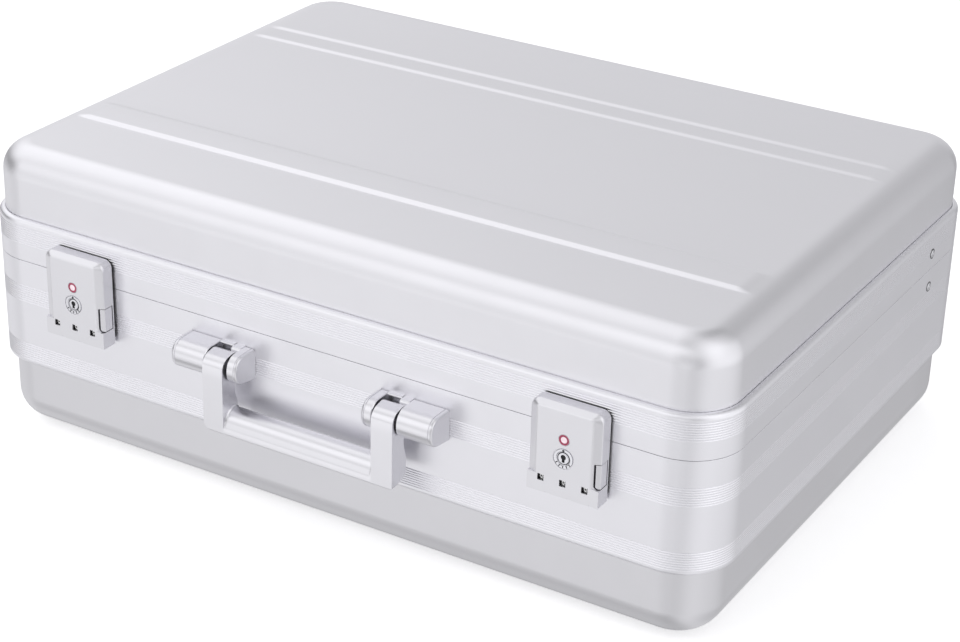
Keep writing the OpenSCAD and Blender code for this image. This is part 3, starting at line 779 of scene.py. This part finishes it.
def grip_outline(grow=0.0):
    """Section of the grip: rounded above a face that lines up with the arms."""
    y = WALL - PIN_D
    front = y - ARM_FRONT + 0.02
    middle, belt = y - 0.4, 68.8
    r_front, r_back = 9.0, 5.4
    rise = GRIP_HIGH - belt + grow
    points = arc(front + LOW_EDGE_R, GRIP_LOW + LOW_EDGE_R, LOW_EDGE_R, 270, 180, 5)
    points += [(front, 66.0), (front + 0.45, 67.6)]
    for k in range(15):
        a = math.radians(172 - 82 * k / 14)
        points.append((middle + (r_front + grow) * math.cos(a), belt + rise * math.sin(a)))
    for k in range(1, 9):
        a = math.radians(90 - 90 * k / 8)
        points.append((middle + (r_back + grow) * math.cos(a), belt + 1.5 + (rise - 1.5) * math.sin(a)))
    return points + [(y + 4.0 + grow, 67.5), (y + 2.5, 64.8), (y - 1.0, 63.0), (y - 5.0, GRIP_LOW)]


def grip_solid(half):
    """Grip with a raised collar where it meets each arm."""
    steps = [(half, COLLAR), (half - 1.3, COLLAR), (half - 1.9, 0.25), (half - 2.4, 0.0)]
    stations_x = [(-x, grow) for x, grow in steps] + [(x, grow) for x, grow in reversed(steps)]
    rings = [[(x, y, z) for y, z in grip_outline(grow)] for x, grow in stations_x]
    return loft(rings)


def heel_tool(side, r):
    """What is cut away to round an arm's lower outside corner to a radius."""
    inside, outside = side * (BAIL_HALF - r), side * (BAIL_HALF + 1)
    outline = [(inside, GRIP_LOW - 1), (outside, GRIP_LOW - 1), (outside, GRIP_LOW + r)]
    outline.append((side * BAIL_HALF, GRIP_LOW + r))
    for k in range(1, 8):
        a = math.radians(90 * k / 8)
        outline.append((inside + side * r * math.cos(a), GRIP_LOW + r - r * math.sin(a)))
    return prism_y(outline + [(inside, GRIP_LOW)], WALL - 30, WALL - 1)


def make_bail():
    grip = grip_solid(BAIL_HALF - ARM_W + ARM_EDGE + 0.1)
    finish_piece(grip, "handle_grip", "cast", "handle", "handle_bail")
    for name, side in SIDES:
        x0, x1 = sorted((side * BAIL_HALF, side * (BAIL_HALF - ARM_W)))
        arm = cut(prism_x(arm_outline(), x0, x1), heel_tool(side, HEEL_R[name]))
        finish_piece(arm, f"handle_arm_{name}", "cast", "handle", "handle_bail", bevel=ARM_EDGE, steps=3)


# ---- latches

SIDE_BEVEL_W = 5.1
SIDE_BEVEL_D = 2.6
TOP_BEVEL_H = 2.5
TOP_BEVEL_D = 4.0
BLOCK_H = 11.2
COVER_R = 5.0
COVER_BACK = 1.5
BUTTON_W = 2.8
BUTTON_Z = LATCH_Z + 11.2
BUTTON_H = 15.2
BUTTON_GAP = 0.9
WINDOW = 4.0
COVER_T = 1.8
KEY_R = 3.6
KEY_BORE_R = 3.95
KEY_SEAT_R = 6.6
KEY_SEAT_D = 0.45
MARK_R = 5.0
TICKS = 5
TICK_STEP = 27
DISC_R = 3.3
DISC_Z = LATCH_Z + 36.6
FIGURES = 10
FIGURE_STEP = 36
FIGURE_H = 3.3
FIGURE_WIDEN = 1.3
FLAT_HALF = 15.5
WHEEL_R = 4.28
NOTCH_R = 3.95
WHEEL_HALF = 3.5
AXLE_R = 1.05


def rounded_top(half, low, high, r):
    """Front view of a cover, (x, z): square below and rounded at both upper corners."""
    points = [(-half, low), (half, low)]
    points += arc(half - r, high - r, r, 0, 90, 8)
    return points + arc(-half + r, high - r, r, 90, 180, 8)


def bevel_inset(d, width, depth, soft, soft_d):
    """How far a bevel stands in from the outline at a depth d behind the front face."""
    slope = width * max(0.0, 1 - d / depth)
    near_end = depth - 0.35
    if d > near_end:
        slope = width / depth * max(0.0, depth + 0.35 - d) ** 2 / 1.4
    return slope + soft * (1 - min(1.0, d / soft_d)) ** 2


def cover_loops():
    """Outlines of a cover at several depths, from its back to its front face."""
    half = LATCH_W / 2
    front = WALL - LATCH_D
    depths = [LATCH_D - COVER_BACK, 4.6, 4.35, 4.1, 3.9, 3.65, 3.2, 2.95, 2.75, 2.6, 2.4, 2.2, 1.6, 1.0]
    depths += [0.65, 0.45, 0.3, 0.18, 0.08, 0.0]
    loops = []
    for d in depths:
        side = bevel_inset(d, SIDE_BEVEL_W, SIDE_BEVEL_D, 0.75, 0.35)
        top = bevel_inset(d, TOP_BEVEL_H, TOP_BEVEL_D, 0.7, 0.65)
        r = max(1.6, COVER_R - 0.7 * side)
        loops.append((front + d, rounded_top(half - side, LATCH_Z, LATCH_TOP - top, r)))
    return loops


def cover_solid(cx):
    """Cover with bevelled top and sides and a square block at its foot, hollow behind."""
    half = LATCH_W / 2
    back = WALL - COVER_BACK
    front = WALL - LATCH_D
    solid = loft([[(cx + x, y, z) for x, z in loop] for y, loop in cover_loops()])
    foot = block((cx - half, front, LATCH_Z), (cx + half, back, LATCH_Z + BLOCK_H))
    solid = boolean(solid, "UNION", [foot])
    x0, x1 = cx - half + COVER_T, cx + half - COVER_T
    room = block((x0, WALL - 7.5, LATCH_Z + 1.5), (x1, WALL, LATCH_TOP - 2))
    wheels = block((cx - 18.2, front + 0.9, WHEEL_Z - 5), (cx + 18.2, WALL - 7, WHEEL_Z + 5))
    low = block((x0, WALL - 8, LATCH_Z - 1), (x1, WALL, LATCH_Z + 2))
    tools = [room, wheels, low]
    for i in (-1, 0, 1):
        x = cx + i * WHEEL_PITCH
        h = WINDOW / 2
        tools.append(block((x - h, front - 1, WHEEL_Z - h), (x + h, WALL - 7, WHEEL_Z + h)))
        tools.append(block((x + h + 1, front - 1, LATCH_Z - 1), (x + h + 4, front + 0.5, LATCH_Z + 0.6)))
    tools.append(rod(front - 1, WALL - 5, KEY_BORE_R, (cx, 0, KEY_Z), "y", 32))
    tools.append(rod(front - 1, front + KEY_SEAT_D, KEY_SEAT_R, (cx, 0, KEY_Z), "y", 48))
    x0 = cx + half - BUTTON_W - BUTTON_GAP
    r = 2.6
    opening = [(x0 + r, BUTTON_Z - 0.4), (cx + half + 2, BUTTON_Z - 0.4)]
    opening += [(cx + half + 2, BUTTON_Z + BUTTON_H + 0.3), (x0, BUTTON_Z + BUTTON_H + 0.3)]
    opening += arc(x0 + r, BUTTON_Z - 0.4 + r, r, 180, 270, 6)[:-1]
    tools.append(prism_y(opening, front - 1, WALL - 2.6))
    return cut(solid, *tools)


def make_bumper(name, cx):
    """Dark rubber edging behind the rim of a cover, from its hinge up and over the top. Its black edge also
    stands in for the shadow in the gap between the cover and the wall.
    """
    half = LATCH_W / 2 - 0.35
    outer = rounded_top(half, LATCH_Z + 4, LATCH_TOP - 0.35, COVER_R - 0.3)
    inner = rounded_top(half - 1.2, LATCH_Z + 4, LATCH_TOP - 1.55, COVER_R - 1.4)
    rim = outer[1:] + [outer[0], inner[0]] + list(reversed(inner[1:]))
    bm = prism_y([(cx + x, z) for x, z in rim], WALL - COVER_BACK - 0.2, WALL - 0.35)
    finish_piece(bm, f"latch_bumper_and_gap_shade_{name}", "rubber", f"latch_{name}")


def make_key_ring(name, cx, front):
    """Raised ring round a key, with a dot above and five ticks below."""
    ring = [(front + 0.05, 4.3), (front - 0.32, 4.6), (front - 0.32, 5.75), (front + 0.05, 6.0),
            (front + 0.45, 6.0), (front + 0.45, 4.3)]
    finish_piece(tube(ring, (cx, 0, KEY_Z), "y", 48), f"key_bezel_{name}", "turned", f"latch_{name}")
    marks = []
    for k in range(TICKS):
        angle = (k - TICKS // 2) * TICK_STEP
        a = math.radians(angle)
        tick = block((-0.3, front - 0.38, -0.75), (0.3, front - 0.25, 0.75))
        rotate(tick, -angle, "Y")
        shift(tick, (cx + MARK_R * math.sin(a), 0, KEY_Z - MARK_R * math.cos(a)))
        marks.append(tick)
    dot = [(front - 0.38, 0.0), (front - 0.38, 0.75), (front - 0.25, 0.8), (front - 0.25, 0.0)]
    marks.append(lathe(dot, (cx, 0, KEY_Z + MARK_R), "y", 16))
    finish_piece(join(*marks), f"key_marks_{name}", "mark", f"latch_{name}")


def make_indicator(name, cx, front):
    """Red ring with a pale centre in a turned rim."""
    r, body, place = DISC_R, f"latch_{name}", (cx, 0, DISC_Z)
    rim = [(front - 0.14, r - 0.05), (front - 0.2, r + 0.1), (front - 0.12, r + 0.35),
           (front + 0.1, r + 0.45), (front + 0.1, r - 0.05)]
    finish_piece(tube(rim, place, "y", 40), f"indicator_rim_{name}", "turned", body)
    ring = [(front + 0.1, r * 0.6), (front - 0.14, r * 0.6), (front - 0.16, r * 0.75), (front - 0.12, r),
            (front + 0.1, r)]
    finish_piece(tube(ring, place, "y", 40), f"indicator_{name}", "red", body)
    disc = [(front + 0.1, 0.0), (front + 0.1, r * 0.6), (front - 0.08, r * 0.6), (front - 0.14, r * 0.3),
            (front - 0.15, 0.0)]
    finish_piece(lathe(disc, place, "y", 32), f"indicator_centre_{name}", "pale", body)


def make_cover(name, cx, front):
    node = f"latch_cover_{name}"
    finish_piece(cover_solid(cx), f"{node}_shell", "cover", f"latch_{name}", node, bevel=0.3, steps=3,
                 angle=50)
    make_bumper(name, cx)
    make_key_ring(name, cx, front)
    make_indicator(name, cx, front)


def make_key(name, cx, front):
    """Turned plug with a softened face, a keyway and the disc behind it."""
    profile = [(front - 0.1, 0.0), (front - 0.12, 3.0), (front + 0.1, 3.45), (front + 0.5, KEY_R)]
    profile += [(WALL - 5.6, KEY_R), (WALL - 5.6, 5.0), (WALL - 4.4, 5.0), (WALL - 4.4, 0.0)]
    plug = lathe(profile, (cx, 0, KEY_Z), "y", 40)
    way = block((cx - 0.85, front - 1, KEY_Z - 2.4), (cx + 0.85, front + 4, KEY_Z + 2.0))
    pin = rod(front - 1, front + 4, 1.6, (cx, 0, KEY_Z + 0.8), "y", 20)
    plug = cut(plug, way, pin)
    # A black block a little way into the keyway is painted shade: it stands for the dark inside the slot.
    depth = block((cx - 1.5, front + 0.9, KEY_Z - 2.3), (cx + 1.5, front + 1.6, KEY_Z + 2.2))
    finish_piece(depth, f"keyway_shade_block_{name}", "dark", f"key_{name}", slotted=False)
    node = f"key_plug_{name}"
    finish_piece(plug, f"{node}_turned", "turned", f"key_{name}", node, bevel=0.08, steps=1)


def make_button(name, cx, front):
    outer = cx + LATCH_W / 2
    inner = outer - BUTTON_W
    back = WALL - 3.2
    slope = SIDE_BEVEL_D / SIDE_BEVEL_W
    outline = [(inner, back), (outer, back), (outer, front + SIDE_BEVEL_D)]
    outline += [(inner, front + SIDE_BEVEL_D - BUTTON_W * slope)]
    bm = prism_z(outline, BUTTON_Z, BUTTON_Z + BUTTON_H)
    r = 1.9
    x0 = inner - 1
    corner = [(x0, BUTTON_Z - 1), (inner + r, BUTTON_Z - 1), (inner + r, BUTTON_Z)]
    corner += list(reversed(arc(inner + r, BUTTON_Z + r, r, 180, 270, 6)))[1:] + [(x0, BUTTON_Z + r)]
    bm = cut(bm, prism_y(corner, front - 1, WALL))
    node = f"release_button_{name}"
    finish_piece(bm, f"{node}_cap", "cover", f"button_{name}", node, bevel=0.3)


def curve_bmesh(curve):
    """Mesh of a curve or text, which is then deleted."""
    obj = add_object("curve", curve)
    graph = bpy.context.evaluated_depsgraph_get()
    mesh = bpy.data.meshes.new_from_object(obj.evaluated_get(graph))
    bpy.data.objects.remove(obj)
    bpy.data.curves.remove(curve)
    return take_mesh(mesh)


def digit_mesh(text, size):
    """One figure as a flat bmesh in the XY plane, centred, in millimetres."""
    curve = bpy.data.curves.new("figure", "FONT")
    curve.body = text
    curve.size = size
    curve.extrude = 0.06
    curve.offset = 0.11
    curve.align_x = "CENTER"
    curve.align_y = "CENTER"
    curve.resolution_u = 3
    return curve_bmesh(curve)


def wheel_barrel(centre):
    """One wheel: ten flats with a notch between neighbours, bored for its axle."""
    x, y, z = centre
    outline = []
    for i in range(FIGURES):
        middle = i * FIGURE_STEP - 90
        for off, r in ((-FLAT_HALF, WHEEL_R), (FLAT_HALF, WHEEL_R), (FIGURE_STEP / 2, NOTCH_R)):
            a = math.radians(middle + off)
            outline.append((y + r * math.cos(a), z + r * math.sin(a)))
    wheel = prism_x(outline, x - WHEEL_HALF, x + WHEEL_HALF)
    return cut(wheel, rod(x - 4, x + 4, AXLE_R, (0, y, z), "x", 20))


def wheel_figures(centre):
    """The figures 0 to 9, each standing on its flat."""
    flat = WHEEL_R * math.cos(math.radians(FLAT_HALF))
    figures = []
    for i in range(FIGURES):
        figure = digit_mesh(str(i), FIGURE_H)
        bmesh.ops.scale(figure, vec=(FIGURE_WIDEN, 1.0, 1.0), verts=figure.verts)
        rotate(figure, 90, "X")
        shift(figure, (0, -flat, 0))
        rotate(figure, -FIGURE_STEP * i, "X")
        shift(figure, centre)
        figures.append(figure)
    return join(*figures)


def make_wheels(name, cx):
    for place in (1, 2, 3):
        centre = (cx + (place - 2) * WHEEL_PITCH, WALL - WHEEL_D, WHEEL_Z)
        node, body = f"digit_wheel_{name}_{place}", f"wheel_{name}_{place}"
        finish_piece(wheel_barrel(centre), f"{node}_barrel", "dark", body, node, bevel=0.15)
        finish_piece(wheel_figures(centre), f"{node}_figures", "digit", body)


# ---- hinges, stays and small hardware

RIVET_R = 2.8
RIVET_H = 0.7
RIVET_STEPS = (9.0, 26.0, 44.0, 61.0)
LEAF_T = 2.0


def rivet(centre):
    """Domed rivet head that looks to the rear."""
    r, h = RIVET_R, RIVET_H
    profile = [(-1.0, 0.0), (-1.0, r * 0.6), (0.0, r * 0.6), (0.0, r)]
    profile += [(h * 0.35, r), (h * 0.8, r * 0.78), (h, r * 0.4), (h, 0.0)]
    return lathe(profile, centre, "y", 28)


def stud_piece(node, side, body):
    """Stay stud: shank, a thin flange inside and a domed head with a fine edge line outside. A dark rubber
    ring under the head stands in for the shadow round its rim.
    """
    low, high = box_mm(node)
    inside, outside = (low[0], high[0]) if side > 0 else (high[0], low[0])
    z = (low[2] + high[2]) / 2
    wall = side * CASE_L / 2
    head = outside - wall
    profile = [(inside, 0.0), (inside, 3.2), (inside + side * 0.3, 4.0), (inside + side * 0.8, 4.0)]
    profile += [(inside + side * 0.8, 2.45), (wall + side * 0.2, 2.45), (wall + side * 0.2, 2.8)]
    profile += [(wall + head * 0.3, 2.8), (wall + head * 0.8, 2.35), (wall + head, 1.5)]
    profile += [(wall + head, 0.7), (wall + head * 0.6, 0.5), (wall + head * 0.6, 0.0)]
    finish_piece(lathe(profile, (0, STUD_Y, z), "x", 36), f"{node}_rivet", "turned", body, node)
    # A dark rubber ring under the head stands in for the shadow round its rim.
    shadow_washer = [(wall - side * 0.2, 2.5), (wall + side * 0.2, 2.5), (wall + side * 0.2, 3.3)]
    shadow_washer.append((wall - side * 0.2, 3.4))
    finish_piece(tube(shadow_washer, (0, STUD_Y, z), "x", 36), f"{node}_washer", "rubber", body)


def make_stays():
    for name, side in SIDES:
        stud_piece(f"stay_base_stud_{name}", side, "base")
        stud_piece(f"stay_lid_stud_{name}", side, "lid")


def make_hinge_rivets():
    """Rivet heads on the leaves of both rear hinges."""
    for name in ("left", "right"):
        for body in ("base", "lid"):
            low, high = box_mm(f"hinge_{body}_leaf_{name}")
            z = low[2] + 8.0 if body == "base" else high[2] - 8.0
            heads = [rivet((low[0] + step, CASE_W / 2 + LEAF_T, z)) for step in RIVET_STEPS]
            finish_piece(join(*heads), f"hinge_rivets_{body}_{name}", "turned", body)


# ---- foam

def rounded_rect(x, y, w, d, r, notch=0.0, steps=5):
    """Outline of a pocket, anticlockwise, with finger notches in its long sides."""
    points = []
    for sx, sy, start in ((-1, -1, 180), (1, -1, 270), (1, 1, 0), (-1, 1, 90)):
        points += arc(x + sx * (w / 2 - r), y + sy * (d / 2 - r), r, start, start + 90, steps)
        if notch and sx == sy:
            points += arc(x, y + sy * d / 2, notch, start, start + 180, 14)
    return points


def twin_pocket(lower, upper, r, steps=5):
    """Outline of two pockets, one behind the other, whose facing finger notches meet in a passage."""
    x, y0, w, d0, n0 = lower
    y1, d1, n1 = upper[1], upper[3], upper[4]
    left, right = x - w / 2 + r, x + w / 2 - r
    front, low = y0 - d0 / 2, y0 + d0 / 2
    high, rear = y1 - d1 / 2, y1 + d1 / 2
    meet = (low + high) / 2 + (n0 ** 2 - n1 ** 2) / (2 * (high - low))
    a0 = math.degrees(math.asin((meet - low) / n0))
    a1 = math.degrees(math.asin((high - meet) / n1))
    points = arc(left, front + r, r, 180, 270, steps) + arc(x, front, n0, 180, 360, 14)
    points += arc(right, front + r, r, 270, 360, steps) + arc(right, low - r, r, 0, 90, steps)
    points += arc(x, low, n0, 0, a0, 6) + arc(x, high, n1, -a1, 0, 6)[1:]
    points += arc(right, high + r, r, 270, 360, steps) + arc(right, rear - r, r, 0, 90, steps)
    points += arc(x, rear, n1, 0, 180, 14) + arc(left, rear - r, r, 90, 180, steps)
    points += arc(left, high + r, r, 180, 270, steps) + arc(x, high, n1, 180, 180 + a1, 6)
    return points + arc(x, low, n0, 180 - a0, 180, 6)[1:] + arc(left, low - r, r, 90, 180, steps)


def foam_plate(outlines, z0, z1, soft):
    """Plate between z0 and z1 with holes, all its edges rounded by soft."""
    curve = bpy.data.curves.new("foam", "CURVE")
    curve.dimensions = "2D"
    curve.fill_mode = "BOTH"
    curve.extrude = (z1 - z0) / 2 - soft
    curve.bevel_depth = soft
    curve.bevel_resolution = 3
    curve.offset = -soft
    for outline in outlines:
        spline = curve.splines.new("POLY")
        spline.points.add(len(outline) - 1)
        for point, (x, y) in zip(spline.points, outline):
            point.co = (x, y, 0.0, 1.0)
        spline.use_cyclic_u = True
    bm = curve_bmesh(curve)
    bmesh.ops.remove_doubles(bm, verts=bm.verts, dist=0.001)
    shift(bm, (0, 0, (z0 + z1) / 2))
    bmesh.ops.recalc_face_normals(bm, faces=bm.faces)
    return bm


POCKETS = [
    (-100, 28, 260, 250, 20), (-186, -143, 64, 46, 0), (-100, -143, 64, 46, 0), (-14, -143, 64, 46, 0),
    (132, -149, 150, 34, 0),
]
TWIN_POCKETS = ((132, -72, 150, 84, 14), (132, 70, 150, 160, 16))
POCKET_R = 4.0
STAY_ROOM = (238.0, 38.0, 134.0)


def tray_outline(inset, notched):
    half_l, half_w = CASE_L / 2 - inset, CASE_W / 2 - inset
    r = CORNER_R - inset
    points = []
    x, y0, y1 = STAY_ROOM
    points += arc(half_l - r, -half_w + r, r, -90, 0, 8)
    if notched:
        points += [(half_l, y0), (x, y0), (x, y1), (half_l, y1)]
    points += arc(half_l - r, half_w - r, r, 0, 90, 8)
    points += arc(-half_l + r, half_w - r, r, 90, 180, 8)
    if notched:
        points += [(-half_l, y1), (-x, y1), (-x, y0), (-half_l, y0)]
    return points + arc(-half_l + r, -half_w + r, r, 180, 270, 8)


def make_tray():
    low, high = box_mm("foam_tray")
    inset = CASE_L / 2 - high[0]
    shelf = STAY_LOW_Z - 9.0
    pockets = [rounded_rect(x, y, w, d, POCKET_R, notch) for x, y, w, d, notch in POCKETS]
    pockets.append(twin_pocket(*TWIN_POCKETS, POCKET_R))
    lower = foam_plate([tray_outline(inset, False)] + pockets, low[2], shelf, 0.8)
    finish_piece(lower, "foam_tray_lower", "foam", "base", "foam_tray")
    upper = foam_plate([tray_outline(inset, True)] + pockets, shelf, high[2], 1.6)
    finish_piece(upper, "foam_tray_upper", "foam", "base", "foam_tray")
    low, high = box_mm("foam_pad")
    w, d = high[0] - low[0], high[1] - low[1]
    r = CORNER_R - BASE_INSET - SHEET_T - 4
    pad = foam_plate([rounded_rect(0, 0, w, d, r, 0.0, 8)], low[2], high[2], 1.2)
    finish_piece(pad, "foam_pad_sheet", "foam", "base", "foam_pad")


EGG_PITCH = 26.0
EGG_DEPTH = 14.0
EGG_STEP = 3.2
LID_FOAM_EDGE = 3.0
LID_FOAM_TOP_R = 16.0


def make_lid_foam():
    """Convoluted foam in the lid: rows of soft peaks that look down into the case."""
    low, high = box_mm("lid_foam")
    r = CORNER_R - (CASE_L / 2 - high[0])
    half_l, half_w = high[0], (high[1] - low[1]) / 2
    edge, top_r = LID_FOAM_EDGE, LID_FOAM_TOP_R
    x, y0, y1 = STAY_ROOM
    roof = STAY_HIGH_Z + 9.2

    def under(px, py):
        wave = math.cos(2 * math.pi * px / EGG_PITCH) * math.cos(2 * math.pi * py / EGG_PITCH)
        border = min(half_l - edge - abs(px), half_w - edge - abs(py))
        z = EGG_DEPTH * (0.5 - 0.5 * wave) * smoothstep(border / 10.0)
        side = smoothstep((abs(px) - x + 2.5) / 2.0)
        along = smoothstep((py - y0 + 2.5) / 2.0) * smoothstep((y1 + 2.5 - py) / 2.0)
        return z + max(0.0, roof - low[2] - z) * side * along

    marks = [(x - 3.0, x + 2.0, 0.8)]
    y_marks = [(y0 - 3.0, y0 + 1.0, 0.8), (y1 - 1.0, y1 + 3.0, 0.8)]
    plan = Plan(half_l - edge, half_w - edge, r - edge, marks, y_marks, EGG_STEP)
    skirt = [(offset, low[2] + rise, 0.0) for offset, rise in arc(0.0, edge, edge, -90, 0, 5)[1:]]
    skirt.append((edge, high[2] - top_r, 0.0))
    skirt += [(offset, z, 0.0) for offset, z in arc(edge - top_r, high[2] - top_r, top_r, 0, 90, 8)[1:]]
    verts, faces = cap_and_skirt(plan, low[2], under, skirt)
    faces.append(tuple(range(len(verts) - len(plan.edge()), len(verts))))
    bm = new_bmesh(verts, faces)
    pad = finish_piece(bm, "lid_foam_convoluted", "foam", "lid", "lid_foam", angle=60)


# ---- CAD nodes that stay

KEPT = {
    "steel": ("stay_lower_link", "stay_upper_link"),
    "plated": ("latch_plate", "keeper", "hinge_base_leaf", "hinge_lid_leaf"),
    "turned": ("handle_pin", "latch_pin", "wheel_axle", "hinge_pin"),
}


def dress_kept_nodes():
    for kind, names in KEPT.items():
        for name in names:
            for side in ("left", "right"):
                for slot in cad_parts[f"{name}_{side}"].material_slots:
                    slot.material = M[kind]


# ---- stage

CAMERA_PLACE = (0.6950, -1.1741, 0.7435)
CAMERA_YAW = 30.56
CAMERA_PITCH = 26.29
CAMERA_ROLL = 1.44
CAMERA_LENS = 86.86
CAMERA_SHIFT = (0.0013, -0.0014)

# The studio is an even sky with soft patches on it. A patch has a direction, the cosines between
# which it fades in, and a strength. Soft boxes and pale walls add light; flags and dark corners take
# it away.
SKY = 0.483
DARKEST = 0.02
SKY_TONE = (0.985, 0.985, 1.0, 1.0)
PATCHES = {
    "soft box, high left": ((-0.64, 0.10, 0.76), 0.69, 1.00, 0.724),
    "soft box, in front": ((-0.21, -0.97, 0.11), 0.66, 0.74, 0.788),
    "soft box, right": ((0.86, 0.20, 0.46), 0.31, 0.98, 0.867),
    "dark end, behind": ((-0.29, 0.95, 0.15), 0.45, 0.87, -0.267),
    "pale floor": ((-0.03, 0.00, -1.00), -0.28, 0.42, 0.463),
    "flag, above and behind": ((0.32, 0.51, 0.80), 0.85, 0.93, -0.498),
    "flag, in front": ((0.18, -0.98, -0.04), 0.76, 0.93, -0.634),
    "dark corner, right and behind": ((0.78, 0.59, -0.18), 0.37, 0.88, -0.346),
    "dark floor, left": ((-0.69, -0.29, -0.66), 0.46, 0.54, -0.487),
    "pale wall, behind": ((-0.37, 0.88, 0.30), 0.65, 0.87, 0.485),
    "reflector, low left": ((-0.90, 0.02, -0.44), 0.80, 0.96, 0.42),
    "reflector, below": ((-0.38, -0.02, -0.92), 0.84, 0.98, 0.24),
}

FLOOR_SIZE = 12.0
FLOOR_GLOW = 0.40
KEY_PLACE = (-1.2, -2.2, 2.6)
KEY_AIM = (0.0, 0.0, 0.1)
KEY_SIZE = 2.2
KEY_POWER = 18.0


def make_camera():
    yaw, pitch, roll = (math.radians(v) for v in (CAMERA_YAW, CAMERA_PITCH, CAMERA_ROLL))
    ahead = Vector((-math.sin(yaw) * math.cos(pitch), math.cos(yaw) * math.cos(pitch), -math.sin(pitch)))
    right = Vector((math.cos(yaw), math.sin(yaw), 0.0))
    up = right.cross(ahead)
    tilted = right * math.cos(roll) + up * math.sin(roll)
    upright = up * math.cos(roll) - right * math.sin(roll)
    turn = Matrix((tilted, upright, -ahead)).transposed().to_4x4()
    data = bpy.data.cameras.new("camera")
    data.lens = CAMERA_LENS
    data.sensor_width = 36.0
    data.shift_x, data.shift_y = CAMERA_SHIFT
    data.clip_end = 60.0
    camera = add_object("camera", data)
    camera.matrix_world = Matrix.Translation(CAMERA_PLACE) @ turn
    bpy.context.scene.camera = camera


def make_floor():
    """Pale paper that glows a little and is left out of reflections."""
    bm = bmesh.new()
    bmesh.ops.create_grid(bm, x_segments=1, y_segments=1, size=FLOOR_SIZE)
    floor = add_object("floor", bm)
    s = Shader("floor_paper", 0.9, 0.0)
    s.colours(s.noise(3.0, 2.0), (0.90, 0.90, 0.90), (0.93, 0.93, 0.93))
    s.base.inputs["Emission Color"].default_value = (1.0, 1.0, 1.0, 1.0)
    s.base.inputs["Emission Strength"].default_value = FLOOR_GLOW
    floor.data.materials.append(s.material)
    floor.visible_glossy = False


def patch_strength(tree, place, patch):
    """Nodes for one patch of the studio: its strength in the direction looked at."""
    direction, start, end, strength = patch
    along = add_node(tree, "ShaderNodeVectorMath", operation="DOT_PRODUCT")
    along.inputs[1].default_value = Vector(direction).normalized()
    tree.links.new(place, along.inputs[0])
    source = along.outputs["Value"]
    return map_range(tree, source, 0.0, strength, start, end, interpolation_type="SMOOTHSTEP")


def make_studio():
    """World light: the sky's level plus every patch, never darker than DARKEST."""
    world = bpy.data.worlds.new("studio")
    bpy.context.scene.world = world
    world.use_nodes = True
    tree = world.node_tree
    back = tree.nodes["Background"]
    back.inputs["Color"].default_value = SKY_TONE
    place = tree.nodes.new("ShaderNodeTexCoord").outputs["Generated"]
    total = None
    for patch in PATCHES.values():
        add = add_node(tree, "ShaderNodeMath")
        add.inputs[0].default_value = SKY
        if total is not None:
            tree.links.new(total, add.inputs[0])
        tree.links.new(patch_strength(tree, place, patch), add.inputs[1])
        total = add.outputs["Value"]
    level = add_node(tree, "ShaderNodeMath", operation="MAXIMUM")
    level.inputs[1].default_value = DARKEST
    tree.links.new(total, level.inputs[0])
    tree.links.new(level.outputs["Value"], back.inputs["Strength"])


def make_key_light():
    data = bpy.data.lights.new("key", "AREA")
    data.size = KEY_SIZE
    data.energy = KEY_POWER
    light = add_object("key", data)
    light.location = KEY_PLACE
    light.visible_glossy = False
    light.rotation_euler = (Vector(KEY_AIM) - Vector(KEY_PLACE)).to_track_quat("-Z", "Y").to_euler()


make_frames()
make_shells()
make_feet()
make_brackets()
make_bail()
for latch, sign in SIDES:
    latch_place = sign * LATCH_X, WALL - LATCH_D
    make_cover(latch, *latch_place)
    make_key(latch, *latch_place)
    make_button(latch, *latch_place)
    make_wheels(latch, latch_place[0])
make_stays()
make_hinge_rivets()
make_tray()
make_lid_foam()
dress_kept_nodes()
make_camera()
make_floor()
make_studio()
make_key_light()
bpy.context.scene.view_settings.view_transform = "Standard"
